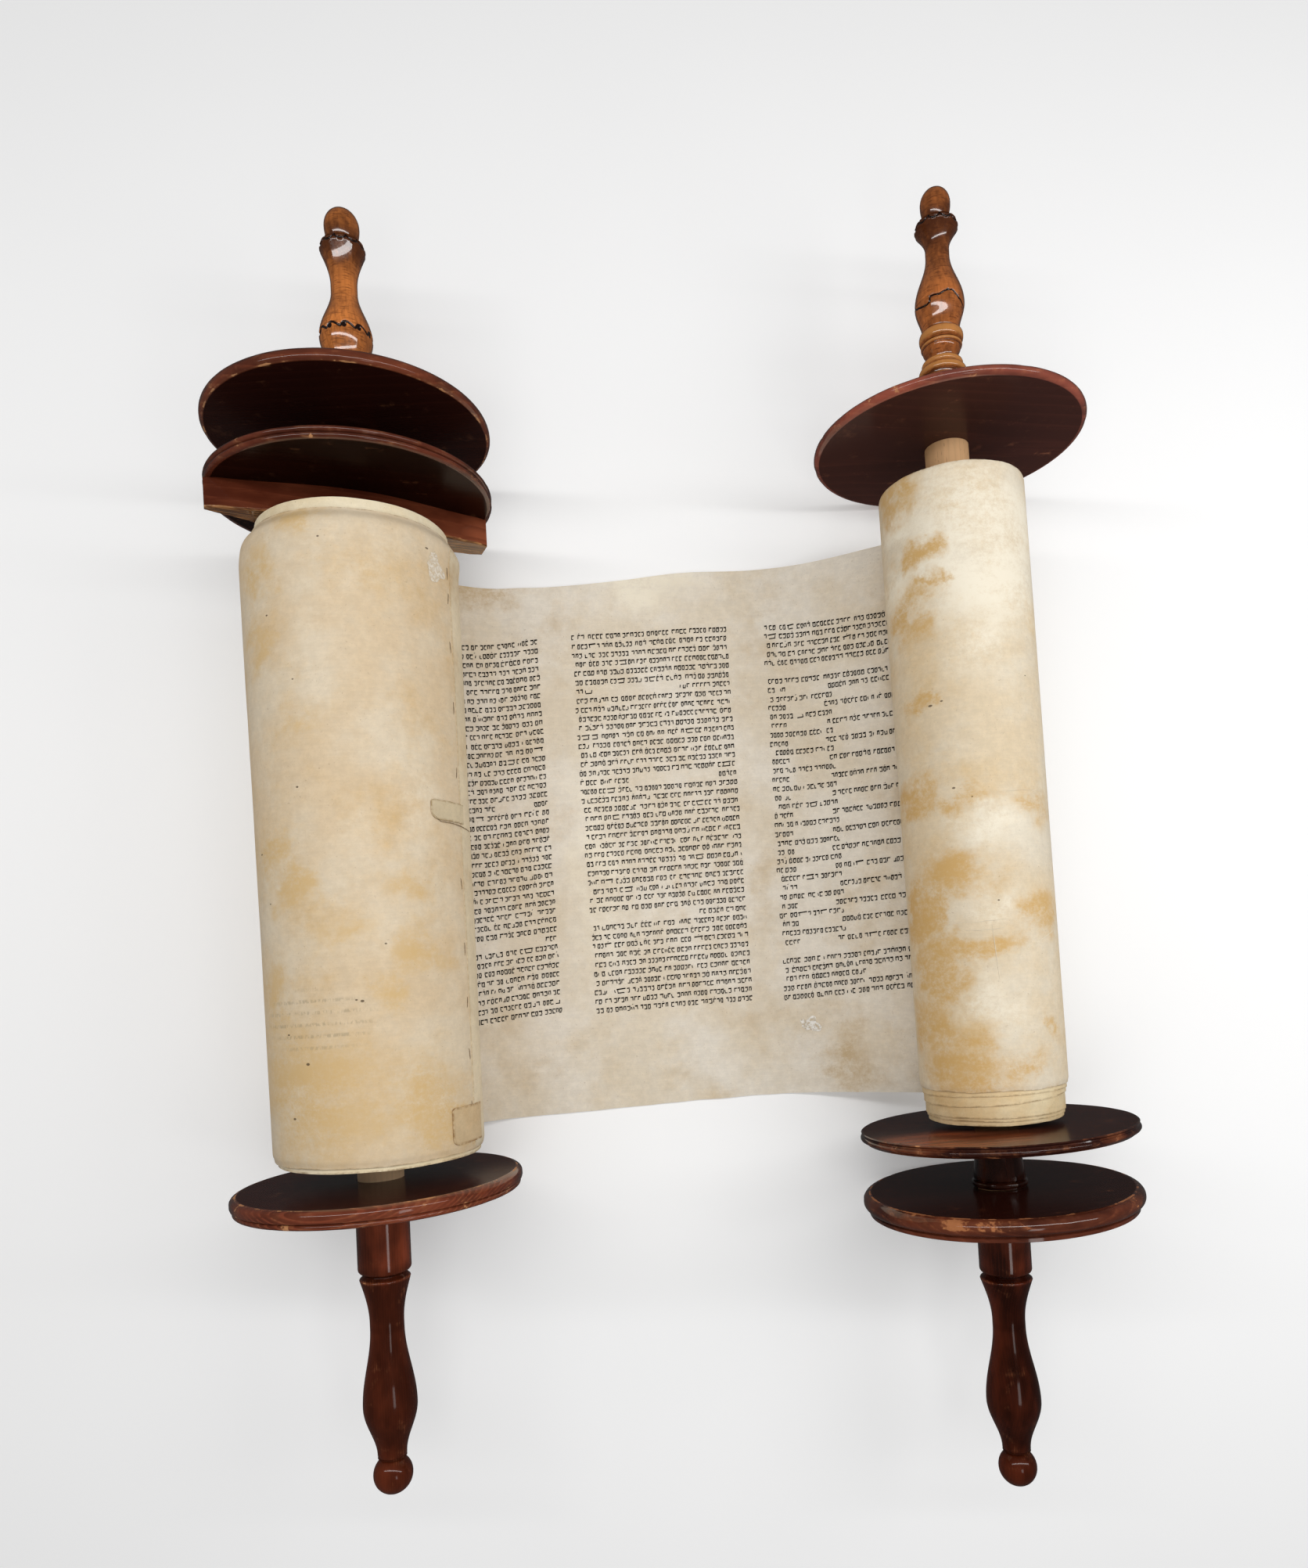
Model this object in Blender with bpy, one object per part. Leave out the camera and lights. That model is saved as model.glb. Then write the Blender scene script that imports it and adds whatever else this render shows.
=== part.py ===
"""A torah scroll lying open on a table, writing side up.

One long parchment is wound on two wooden rollers, and the stretch between them lies on the
table. Each roller is a raw rod with varnished discs at both ends of the roll and a turned handle
beyond them. The left roller has a pair of discs at its upper end and the right roller at its
lower end, so that the single disc of the other roller can slip into the gap when it closes.

The frame is in metres: X runs across the rollers, Y along them with the upper end at +Y, and Z is
up. The origin is under the middle of the whole, on the table.
"""

import math

import bmesh
import bpy
from mathutils import Vector
from mathutils.geometry import interpolate_bezier

# Rollers
DISC_RADIUS = 0.109
ROLLER_SPACING = 0.4863
RIGHT_ROLLER_TURN = math.radians(1.03)
ROD_RADIUS = 0.0175
CLEARANCE = 0.0003
SEAT_GAP = 0.0010

# Discs: the middle of each one along its roller, and how thick it is. None of them sits quite
# square on its roller: the lean is about the vertical, and for the inner discs about X as well.
LEFT_UPPER_OUTER_DISC = (0.3152, 0.012)
LEFT_UPPER_INNER_DISC = (0.2630, 0.010)
LEFT_LOWER_DISC = (-0.2779, 0.014)
RIGHT_UPPER_DISC = (0.2995, 0.009)
RIGHT_LOWER_INNER_DISC = (-0.2615, 0.009)
RIGHT_LOWER_OUTER_DISC = (-0.3162, 0.017)
LEFT_UPPER_INNER_RADIUS = 0.1079
RIGHT_LOWER_INNER_RADIUS = 0.1086
LEFT_UPPER_OUTER_LEAN = (0.0, math.radians(0.6))
LEFT_UPPER_INNER_LEAN = (math.radians(1.0), math.radians(0.2))
LEFT_LOWER_LEAN = (0.0, math.radians(1.0))
RIGHT_UPPER_LEAN = (0.0, math.radians(0.6))
RIGHT_LOWER_INNER_LEAN = (math.radians(-0.9), math.radians(1.1))
RIGHT_LOWER_OUTER_LEAN = (0.0, math.radians(1.1))
RIM_LAND = 0.003
SPOOL_RADIUS = 0.0215
SPOOL_BEAD_RADIUS = 0.0238

# Upper handles, heights along the roller: the cup's widest ring, the middle of the egg above it,
# the low end of the neck, the belly, the top of the bead and the top of the rings
LEFT_FINIAL = (0.4615, 0.4820, 0.4330, 0.3915, 0.3685, 0.3355)
RIGHT_FINIAL = (0.4785, 0.5009, 0.4567, 0.4157, 0.3927, 0.3600)
# and radii: egg, egg's cap height, neck, belly
LEFT_FINIAL_GIRTHS = (0.0136, 0.0144, 0.0102, 0.0205)
RIGHT_FINIAL_GIRTHS = (0.0123, 0.0135, 0.0097, 0.0200)
EGG_LOWER_HEIGHT = 0.020
RIGHT_FINIAL_LEAN = math.radians(-1.55)

# Lower handles: the flange's height, then collar, flange, waist and grip radii
LEFT_FLANGE = -0.3475
RIGHT_FLANGE = -0.3813
LEFT_GRIP_GIRTHS = (0.0202, 0.0193, 0.0129, 0.0205)
RIGHT_GRIP_GIRTHS = (0.0205, 0.0205, 0.0128, 0.0213)
LOWER_HANDLE_BELOW_FLANGE = 0.166
RIGHT_GRIP_LEAN = math.radians(-0.67)

# Batten across the parchment side of the left upper inner disc
BATTEN_REACH = (0.105, 0.102)
BATTEN_HEIGHT = 0.0205
BATTEN_MIDDLE_DEPTH = 0.027
BATTEN_FRONT_AT_ENDS = (0.0135, 0.010)
BATTEN_BACK_AT_ENDS = (-0.0035, 0.014)
BATTEN_END_ROUNDING = 0.003
BATTEN_TURN = math.radians(23)

# Parchment
PARCHMENT_HEIGHT = 0.478
LEFT_ROLL_RADIUS = 0.0794
LEFT_ROLL_TAPER = 0.0078
LEFT_ROLL_OFFSET = -0.0010
LEFT_ROLL_SKEW = -0.0105
LEFT_TOP_TURN_DEPTH = 0.0055
LEFT_BOTTOM_TURN_DEPTH = 0.0015
RIGHT_ROLL_RADIUS = 0.0574
LEFT_OUTER_TURN = (-0.2525, 0.225)
LEFT_INNER_TURNS = (-0.257, 0.230)
RIGHT_OUTER_TURN = (-0.2244, 0.2590)
RIGHT_TURN_SLIP = 0.0081
RIGHT_TOP_SLIP = 0.0015
RIGHT_TURN_DEPTH = 0.0008
SHEET_ROOT = 0.0038
SHEET_THICKNESS = 0.0008
SHEET_ABOVE_TABLE = 0.0003
SHEET_SLANT = 0.027
LEFT_EXIT = math.radians(19)
RIGHT_EXIT = math.radians(27)
LEFT_TOUCHDOWN = 0.110
RIGHT_TOUCHDOWN = 0.320

# Facets round a piece. Each number is twice an odd number, which puts one flat straight down.
DISC_SIDES = 30
HANDLE_SIDES = 18

MAHOGANY = ((0.055, 0.014, 0.009), 0.25)
RED_MAHOGANY = ((0.090, 0.022, 0.013), 0.28)
AMBER_WOOD = ((0.260, 0.095, 0.030), 0.25)
RAW_WOOD = ((0.640, 0.460, 0.280), 0.70)
PARCHMENT = ((0.760, 0.620, 0.400), 0.60)


def clear_scene():
    for thing in list(bpy.data.objects):
        bpy.data.objects.remove(thing, do_unlink=True)


def empty(name, location, lean=(0.0, 0.0), parent=None):
    """A frame that pieces are placed in, turned about X and Z."""
    frame = bpy.data.objects.new(name, None)
    bpy.context.scene.collection.objects.link(frame)
    frame.location = location
    frame.rotation_euler = (lean[0], 0.0, lean[1])
    frame.parent = parent
    return frame


def finish_material(name, finish):
    colour, roughness = finish
    material = bpy.data.materials.new(name)
    material.use_nodes = True
    shader = material.node_tree.nodes["Principled BSDF"]
    shader.inputs["Base Color"].default_value = (*colour, 1.0)
    shader.inputs["Roughness"].default_value = roughness
    shader.inputs["Metallic"].default_value = 0.0
    return material


def add_piece(name, mesh, parent, finish, smooth=True):
    """An object from a bmesh, with its normals out and its own material."""
    bmesh.ops.recalc_face_normals(mesh, faces=mesh.faces)
    data = bpy.data.meshes.new(name)
    mesh.to_mesh(data)
    mesh.free()
    if smooth:
        data.shade_smooth()
        data.set_sharp_from_angle(angle=math.radians(35))
    data.materials.append(finish_material(name, finish))
    piece = bpy.data.objects.new(name, data)
    bpy.context.scene.collection.objects.link(piece)
    piece.parent = parent
    return piece


def make_guide(piece):
    """A shape that only cuts or joins another one."""
    piece.hide_render = True
    piece.display_type = "WIRE"


def combine(piece, operation, other):
    modifier = piece.modifiers.new(other.name, "BOOLEAN")
    modifier.operation = operation
    modifier.solver = "EXACT"
    modifier.object = other
    make_guide(other)


def turned(name, profile, sides, parent, finish):
    """A lathe piece about its parent's Y axis. A profile that starts off the axis is a closed ring."""
    mesh = bmesh.new()
    points = [mesh.verts.new((radius, y, 0.0)) for radius, y in profile]
    edges = [mesh.edges.new(pair) for pair in zip(points, points[1:])]
    if profile[0][0] > 0.0:
        edges.append(mesh.edges.new((points[-1], points[0])))
    bmesh.ops.spin(
        mesh,
        geom=points + edges,
        cent=(0.0, 0.0, 0.0),
        axis=(0.0, 1.0, 0.0),
        angle=math.tau,
        steps=sides,
        use_merge=True,
    )
    bmesh.ops.remove_doubles(mesh, verts=mesh.verts, dist=1e-6)
    return add_piece(name, mesh, parent, finish)


def flow(start, end, steps):
    """Points from one (radius, y) to another along an S-curve, without the first one."""
    points = []
    for step in range(1, steps + 1):
        share = step / steps
        ease = 0.5 - 0.5 * math.cos(math.pi * share)
        radius = start[0] + (end[0] - start[0]) * ease
        points.append((radius, start[1] + (end[1] - start[1]) * share))
    return points


def cove(start, end, steps):
    """Points from one (radius, y) to another along a hollow quarter-round, without the first one."""
    points = []
    for step in range(1, steps + 1):
        share = step / steps
        radius = start[0] + (end[0] - start[0]) * math.sin(math.pi / 2 * share)
        points.append((radius, start[1] + (end[1] - start[1]) * share))
    return points


def bulge(edge_radius, middle_radius, y_from, y_to, steps):
    """A half-round swelling that starts and ends at edge_radius."""
    points = []
    for step in range(steps + 1):
        angle = math.pi * step / steps
        radius = edge_radius + (middle_radius - edge_radius) * math.sin(angle)
        points.append((radius, y_from + (y_to - y_from) * (0.5 - 0.5 * math.cos(angle))))
    return points


def ball(radius, centre_y, neck_radius, steps):
    """A ball from its tip on the axis down to where it meets its neck."""
    last = math.pi - math.asin(neck_radius / radius)
    angles = [last * step / steps for step in range(steps + 1)]
    return [(radius * math.sin(a), centre_y + radius * math.cos(a)) for a in angles]


def rounded_rim(thickness, rounding):
    """Rounded edges on both sides of a flat land. A rim is listed from the top as (inset, y)."""
    half = thickness / 2
    corner = half - RIM_LAND / 2
    steps = 3
    upper = []
    for step in range(steps + 1):
        angle = math.pi / 2 * step / steps
        upper.append((rounding * (1 - math.sin(angle)), half - corner * (1 - math.cos(angle))))
    return upper + [(inset, -y) for inset, y in reversed(upper)]


def beaded_rim(thickness):
    """Two round beads and a groove between them."""
    half = thickness / 2
    return [
        (0.0022, half),
        (0.0, half - 0.0012),
        (0.0, 0.0008),
        (0.0014, 0.0),
        (0.0, -0.0008),
        (0.0, 0.0012 - half),
        (0.0022, -half),
    ]


def grooved_rim(thickness):
    """A rounded upper part over a groove and a lower bead."""
    half = thickness / 2
    return [
        (0.0050, half),
        (0.0014, half - 0.0016),
        (0.0, half - 0.0045),
        (0.0, -0.0010),
        (0.0022, -0.0024),
        (0.0006, -0.0036),
        (0.0006, 0.0010 - half),
        (0.0024, -half),
    ]


def stepped_rim(thickness):
    """A rounded upper edge and a small step near the bottom."""
    half = thickness / 2
    return [
        (0.0030, half),
        (0.0006, half - 0.0012),
        (0.0, half - 0.0030),
        (0.0, -half + 0.0028),
        (0.0014, -half + 0.0024),
        (0.0020, -half),
    ]


def ovolo_rim(thickness):
    """A fat quarter-round over a narrow quirk at the bottom."""
    half = thickness / 2
    return [
        (0.0090, half),
        (0.0036, half - 0.0016),
        (0.0008, half - 0.0048),
        (0.0, half - 0.0078),
        (0.0, -half + 0.0052),
        (0.0012, -half + 0.0036),
        (0.0034, -half + 0.0030),
        (0.0040, -half),
    ]


def disc(name, place, rim, lean, parent, finish, radius=DISC_RADIUS):
    """A bored disc, its flats at the radius and its corners a little outside it."""
    middle, thickness = place
    corner_radius = radius / math.cos(math.pi / DISC_SIDES)
    bore = ROD_RADIUS + CLEARANCE
    profile = [(corner_radius - inset, y) for inset, y in rim]
    profile += [(bore, -thickness / 2), (bore, thickness / 2)]
    piece = turned(name, profile, DISC_SIDES, parent, finish)
    piece.location.y = middle
    piece.rotation_euler = (lean[0], 0.0, lean[1])
    return piece


def face_of(place, side):
    """Where a disc's upper (side 1) or lower (side -1) face lies."""
    middle, thickness = place
    return middle + side * thickness / 2


def rod(name, lower_place, upper_place, parent):
    """The raw rod, flush with the outer faces of the last discs."""
    low = face_of(lower_place, -1)
    high = face_of(upper_place, 1)
    profile = [(0.0, high), (ROD_RADIUS, high), (ROD_RADIUS, low), (0.0, low)]
    return turned(name, profile, HANDLE_SIDES, parent, RAW_WOOD)


def spool(name, upper_place, lower_place, parent):
    """The turned collar between a pair of discs: a waist between beads."""
    high = face_of(upper_place, -1) - SEAT_GAP
    low = face_of(lower_place, 1) + SEAT_GAP
    bore = ROD_RADIUS + CLEARANCE
    bead = 0.009
    profile = bulge(SPOOL_RADIUS, SPOOL_BEAD_RADIUS, high, high - bead, 4)
    profile += [(SPOOL_RADIUS - 0.0012, high - bead - 0.002)]
    profile += [(SPOOL_RADIUS - 0.0012, low + bead + 0.002)]
    profile += bulge(SPOOL_RADIUS, SPOOL_BEAD_RADIUS, low + bead, low, 4)
    profile += [(bore, low), (bore, high)]
    return turned(name, profile, HANDLE_SIDES, parent, MAHOGANY)


def egg(radius, cap_height, middle, foot):
    """An egg from its tip on the axis down to the height of its foot."""
    points = []
    for step in range(4):
        angle = math.pi / 2 * step / 4
        points.append((radius * math.sin(angle), middle + cap_height * math.cos(angle)))
    last = math.asin((middle - foot) / EGG_LOWER_HEIGHT)
    for step in range(3):
        angle = last * step / 2
        points.append((radius * math.cos(angle), middle - EGG_LOWER_HEIGHT * math.sin(angle)))
    return points


def upper_handle(name, place, heights, girths, lean, parent):
    """A turned finial: egg, cup, slim neck, belly, bead, taper, base rings and foot."""
    cup, egg_middle, neck_low, belly, bead, rings = heights
    egg_radius, cap_height, neck_radius, belly_radius = girths
    seat = face_of(place, 1) + SEAT_GAP
    neck_top = cup - 0.0105
    profile = egg(egg_radius, cap_height, egg_middle, cup + 0.0105)
    groove_radius = profile[-1][0] - 0.0006
    profile += [(groove_radius, cup + 0.0100), (0.0138, cup + 0.0085), (0.0162, cup + 0.0055)]
    profile += [(0.0175, cup + 0.0015), (0.0177, cup - 0.0010)]
    profile += flow((0.0177, cup - 0.0010), (neck_radius, neck_top), 3)
    profile += flow((neck_radius, neck_low), (belly_radius, belly), 4)
    profile += [(belly_radius - 0.0012, belly - 0.010), (0.0155, bead + 0.0010)]
    profile += bulge(0.0158, 0.0170, bead, bead - 0.015, 2)
    profile += [(0.0142, rings + 0.0020)]
    profile += bulge(0.0186, 0.0203, rings, rings - 0.0125, 2)
    if rings - seat > 0.02:
        profile += [(0.0180, rings - 0.015), (0.0200, rings - 0.017), (0.0200, seat)]
    profile = [(radius, y - seat) for radius, y in profile] + [(0.0, 0.0)]
    return leaning(turned(name, profile, HANDLE_SIDES, parent, AMBER_WOOD), seat, lean)


def lower_handle(name, place, flange, girths, lean, parent):
    """A turned grip: long collar, V groove, flange, waist, swelling and an end knob."""
    collar_radius, flange_radius, waist_radius, grip_radius = girths
    seat = face_of(place, -1) - SEAT_GAP
    tip = flange - LOWER_HANDLE_BELOW_FLANGE
    waist = flange - 0.034
    grip = flange - 0.098
    neck = flange - 0.136
    profile = [(0.0, seat), (collar_radius, seat), (collar_radius, flange + 0.0050)]
    profile += [(collar_radius - 0.0032, flange + 0.0028), (flange_radius, flange)]
    profile += cove((flange_radius, flange), (waist_radius, waist), 4)
    profile += [(waist_radius, waist - 0.005)]
    profile += flow((waist_radius, waist - 0.005), (grip_radius, grip), 5)
    profile += flow((grip_radius, grip), (0.0110, neck), 4)
    knob_radius = 0.0150
    knob = ball(knob_radius, -(tip + knob_radius), 0.0110, 4)
    profile += [(radius, -y) for radius, y in reversed(knob)]
    profile = [(radius, y - seat) for radius, y in profile]
    return leaning(turned(name, profile, HANDLE_SIDES, parent, RED_MAHOGANY), seat, lean)


def leaning(handle, seat, lean):
    """Stands a handle on its seat, leaning a little to one side of its roller's line."""
    handle.location.y = seat
    handle.rotation_euler.z = lean
    return handle


def between(ends, along):
    """A value between the left one and the right one, along from -1 to 1."""
    return ends[0] + (ends[1] - ends[0]) * (along + 1) / 2


def batten_depths(along):
    """How far the batten reaches to the front and back of its middle line, along from -1 to 1."""
    swell = (1 - along * along) ** 2
    front_end = between(BATTEN_FRONT_AT_ENDS, along)
    back_end = between(BATTEN_BACK_AT_ENDS, along)
    front = front_end + (BATTEN_MIDDLE_DEPTH - front_end) * swell
    back = back_end + (BATTEN_MIDDLE_DEPTH - back_end) * swell
    return front, back


def batten(disc_frame, roller_frame):
    """A lens-shaped bar across the disc, swollen in the middle where the rod goes through it."""
    high = -LEFT_UPPER_INNER_DISC[1] / 2 - CLEARANCE
    steps = 12
    front_edge = []
    back_edge = []
    for step in range(steps + 1):
        along = -1 + 2 * step / steps
        front, back = batten_depths(along)
        reach = BATTEN_REACH[0] if along < 0 else BATTEN_REACH[1]
        front_edge.append((along * reach, front))
        back_edge.append((along * reach, -back))
    for end, reach in zip((-1, 1), BATTEN_REACH):
        front, back = batten_depths(end)
        tip = end * (reach + BATTEN_END_ROUNDING)
        middle = (front - back) / 2
        half_tip = (front + back) / 2 - BATTEN_END_ROUNDING
        place = 0 if end < 0 else len(front_edge)
        front_edge.insert(place, (tip, middle + half_tip))
        back_edge.insert(place, (tip, middle - half_tip))
    outline = front_edge + back_edge[::-1]
    mesh = bmesh.new()
    face = mesh.faces.new([mesh.verts.new((x, high, z)) for x, z in outline])
    grown = bmesh.ops.extrude_face_region(mesh, geom=[face])
    moved = [item for item in grown["geom"] if isinstance(item, bmesh.types.BMVert)]
    bmesh.ops.translate(mesh, verts=moved, vec=(0.0, -BATTEN_HEIGHT, 0.0))
    bar = add_piece("left_batten", mesh, disc_frame, RED_MAHOGANY, smooth=False)
    bar.rotation_euler.y = BATTEN_TURN
    bore = ROD_RADIUS + CLEARANCE * 2
    middle = LEFT_UPPER_INNER_DISC[0]
    top = middle + BATTEN_HEIGHT
    bottom = middle - BATTEN_HEIGHT * 2
    hole = [(0.0, top), (bore, top), (bore, bottom), (0.0, bottom)]
    cutter = turned("batten_bore", hole, HANDLE_SIDES, roller_frame, RED_MAHOGANY)
    combine(bar, "DIFFERENCE", cutter)
    return bar


def left_roll(parent):
    """Turns on the left rod, fuller at the top and wound a little askew. The inner ones stick out
    at both ends, and at the top the outermost one stands off them."""
    bore = ROD_RADIUS + CLEARANCE
    profile = []
    for inset, y in (
        (LEFT_TOP_TURN_DEPTH, LEFT_INNER_TURNS[1]),
        (LEFT_TOP_TURN_DEPTH, LEFT_OUTER_TURN[1]),
        (0.0, LEFT_OUTER_TURN[1]),
        (0.0, LEFT_OUTER_TURN[0]),
        (LEFT_BOTTOM_TURN_DEPTH, LEFT_OUTER_TURN[0]),
        (LEFT_BOTTOM_TURN_DEPTH, LEFT_INNER_TURNS[0]),
    ):
        profile.append((LEFT_ROLL_RADIUS + LEFT_ROLL_TAPER * y - inset, y))
    profile += [(bore, LEFT_INNER_TURNS[0]), (bore, LEFT_INNER_TURNS[1])]
    roll = turned("parchment", profile, DISC_SIDES, parent, PARCHMENT)
    for vertex in roll.data.vertices:
        if math.hypot(vertex.co.x, vertex.co.z) > 2 * bore:
            vertex.co.x += LEFT_ROLL_OFFSET + LEFT_ROLL_SKEW * vertex.co.y
    return roll


def right_roll(parent):
    """Turns on the right rod. At the lower end each has slipped out past the one round it; at the
    upper end, against the disc, they lie almost level."""
    bore = ROD_RADIUS + CLEARANCE
    turns = 4
    low, high = RIGHT_OUTER_TURN
    profile = []
    for turn in range(turns):
        radius = RIGHT_ROLL_RADIUS - turn * RIGHT_TURN_DEPTH
        bottom = low - turn * RIGHT_TURN_SLIP
        top = high - turn * RIGHT_TOP_SLIP
        profile.insert(0, (radius, top))
        profile.append((radius, bottom))
        if turn < turns - 1:
            profile.insert(0, (radius - RIGHT_TURN_DEPTH, top))
            profile.append((radius - RIGHT_TURN_DEPTH, bottom))
    profile += [(bore, bottom), (bore, top)]
    return turned("right_roll_turns", profile, DISC_SIDES, parent, PARCHMENT)


def exit_point(axis_x, radius, exit_angle, side):
    """Where the sheet leaves a roll: past its underside, on the side away from the open sheet."""
    return Vector((
        axis_x - side * radius * math.sin(exit_angle),
        0.0,
        DISC_RADIUS - radius * math.cos(exit_angle),
    ))


def sheet_path():
    """The sheet's middle line in XZ: out of the left roll, along the table, into the right roll."""
    rest = SHEET_ABOVE_TABLE + SHEET_THICKNESS / 2
    turn_in = math.radians(7)
    ends = []
    for axis_x, radius, angle, touchdown, side in (
        (0.0, LEFT_ROLL_RADIUS, LEFT_EXIT, LEFT_TOUCHDOWN, 1),
        (ROLLER_SPACING, RIGHT_ROLL_RADIUS, RIGHT_EXIT, RIGHT_TOUCHDOWN, -1),
    ):
        root = exit_point(axis_x, radius - SHEET_ROOT, angle + turn_in, side)
        start = exit_point(axis_x, radius + SHEET_THICKNESS, angle, side)
        down = Vector((touchdown, 0.0, rest))
        heading = Vector((side * math.cos(angle), 0.0, -math.sin(angle)))
        reach = (down - start).length
        curve = interpolate_bezier(
            start,
            start + heading * reach * 0.45,
            down - Vector((side * reach * 0.35, 0.0, 0.0)),
            down,
            12,
        )
        ends.append([root, *curve])
    return ends[0] + list(reversed(ends[1]))


def open_sheet(parent):
    """The stretch between the rolls. Its edges slant a little, as it was wound askew."""
    path = sheet_path()
    mesh = bmesh.new()
    sections = []
    for index, point in enumerate(path):
        ahead = path[min(index + 1, len(path) - 1)] - path[max(index - 1, 0)]
        normal = Vector((-ahead.z, 0.0, ahead.x)).normalized() * SHEET_THICKNESS / 2
        middle = SHEET_SLANT * (point.x - ROLLER_SPACING / 2)
        corners = []
        for side, face in ((-1, -1), (1, -1), (1, 1), (-1, 1)):
            corner = point + normal * face
            corner.y = middle + side * PARCHMENT_HEIGHT / 2
            corners.append(mesh.verts.new(corner))
        sections.append(corners)
    for near, far in zip(sections, sections[1:]):
        for corner in range(4):
            after = (corner + 1) % 4
            mesh.faces.new((near[corner], near[after], far[after], far[corner]))
    mesh.faces.new(sections[0])
    mesh.faces.new(sections[-1])
    return add_piece("sheet", mesh, parent, PARCHMENT)


def build_left_roller(frame):
    rod("left_rod", LEFT_LOWER_DISC, LEFT_UPPER_OUTER_DISC, frame)
    outer = LEFT_UPPER_OUTER_DISC
    inner = LEFT_UPPER_INNER_DISC
    lower = LEFT_LOWER_DISC
    rim = rounded_rim(outer[1], 0.006)
    disc("left_upper_outer_disc", outer, rim, LEFT_UPPER_OUTER_LEAN, frame, MAHOGANY)
    square = (0.0, 0.0)
    inner_frame = empty("left_inner_disc_frame", (0.0, inner[0], 0.0), LEFT_UPPER_INNER_LEAN, frame)
    centred = (0.0, inner[1])
    radius = LEFT_UPPER_INNER_RADIUS
    rim = beaded_rim(inner[1])
    disc("left_upper_inner_disc", centred, rim, square, inner_frame, MAHOGANY, radius)
    batten(inner_frame, frame)
    spool("left_upper_spool", outer, inner, frame)
    disc("left_lower_disc", lower, grooved_rim(lower[1]), LEFT_LOWER_LEAN, frame, RED_MAHOGANY)
    upper_handle("left_upper_handle", outer, LEFT_FINIAL, LEFT_FINIAL_GIRTHS, 0.0, frame)
    lower_handle("left_lower_handle", lower, LEFT_FLANGE, LEFT_GRIP_GIRTHS, 0.0, frame)


def build_right_roller(frame):
    upper = RIGHT_UPPER_DISC
    inner = RIGHT_LOWER_INNER_DISC
    outer = RIGHT_LOWER_OUTER_DISC
    rod("right_rod", outer, upper, frame)
    rim = rounded_rim(upper[1], 0.004)
    disc("right_upper_disc", upper, rim, RIGHT_UPPER_LEAN, frame, RED_MAHOGANY)
    rim = stepped_rim(inner[1])
    radius = RIGHT_LOWER_INNER_RADIUS
    disc("right_lower_inner_disc", inner, rim, RIGHT_LOWER_INNER_LEAN, frame, MAHOGANY, radius)
    rim = ovolo_rim(outer[1])
    disc("right_lower_outer_disc", outer, rim, RIGHT_LOWER_OUTER_LEAN, frame, RED_MAHOGANY)
    spool("right_lower_spool", inner, outer, frame)
    girths = RIGHT_FINIAL_GIRTHS
    upper_handle("right_upper_handle", upper, RIGHT_FINIAL, girths, RIGHT_FINIAL_LEAN, frame)
    girths = RIGHT_GRIP_GIRTHS
    lower_handle("right_lower_handle", outer, RIGHT_FLANGE, girths, RIGHT_GRIP_LEAN, frame)


def build_parchment(left_frame, right_frame, table_frame):
    """One piece: both rolls and the open sheet between them."""
    parchment = left_roll(left_frame)
    combine(parchment, "UNION", open_sheet(table_frame))
    combine(parchment, "UNION", right_roll(right_frame))


def centre_over_origin(frame):
    """Moves the whole so that the middle of its underside is the origin."""
    bpy.context.view_layer.update()
    corners = []
    for thing in bpy.data.objects:
        if thing.type == "MESH" and not thing.hide_render:
            corners += [thing.matrix_world @ vertex.co for vertex in thing.data.vertices]
    middle = [(min(c[i] for c in corners) + max(c[i] for c in corners)) / 2 for i in (0, 1)]
    frame.location = (-middle[0], -middle[1], -min(c.z for c in corners))


def main():
    clear_scene()
    table = empty("table", (0.0, 0.0, 0.0))
    left = empty("left_roller", (0.0, 0.0, DISC_RADIUS), parent=table)
    right_place = (ROLLER_SPACING, 0.0, DISC_RADIUS)
    right = empty("right_roller", right_place, (0.0, RIGHT_ROLLER_TURN), table)
    build_left_roller(left)
    build_right_roller(right)
    build_parchment(left, right, table)
    centre_over_origin(table)


main()
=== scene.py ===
import math
import random

import bpy
from mathutils import Euler, Matrix, Vector, noise


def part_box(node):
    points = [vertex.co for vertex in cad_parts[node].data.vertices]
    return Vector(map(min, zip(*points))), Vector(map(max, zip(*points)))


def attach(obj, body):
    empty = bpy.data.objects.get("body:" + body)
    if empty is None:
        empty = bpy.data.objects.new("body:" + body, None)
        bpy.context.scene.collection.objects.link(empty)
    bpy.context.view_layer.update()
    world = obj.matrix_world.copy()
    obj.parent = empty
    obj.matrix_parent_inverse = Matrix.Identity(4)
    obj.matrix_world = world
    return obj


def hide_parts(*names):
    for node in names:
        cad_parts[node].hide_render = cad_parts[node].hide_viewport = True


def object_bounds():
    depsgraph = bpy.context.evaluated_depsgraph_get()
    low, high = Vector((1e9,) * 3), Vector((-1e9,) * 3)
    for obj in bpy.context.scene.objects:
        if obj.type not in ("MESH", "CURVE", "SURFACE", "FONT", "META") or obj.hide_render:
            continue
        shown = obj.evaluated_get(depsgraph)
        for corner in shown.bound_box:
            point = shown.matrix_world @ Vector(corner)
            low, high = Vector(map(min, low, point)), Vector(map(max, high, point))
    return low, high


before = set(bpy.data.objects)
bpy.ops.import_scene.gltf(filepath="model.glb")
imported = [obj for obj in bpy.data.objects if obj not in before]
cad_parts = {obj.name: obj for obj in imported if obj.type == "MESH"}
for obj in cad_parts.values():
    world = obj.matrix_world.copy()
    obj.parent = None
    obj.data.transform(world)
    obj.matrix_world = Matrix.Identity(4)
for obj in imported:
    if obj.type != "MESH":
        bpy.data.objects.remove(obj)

CAD_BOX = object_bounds()
BODY = "root"
WELD = 2e-6


# ---------------------------------------------------------------- places, from the frame

def middle(node):
    low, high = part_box(node)
    return (low + high) / 2


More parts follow.
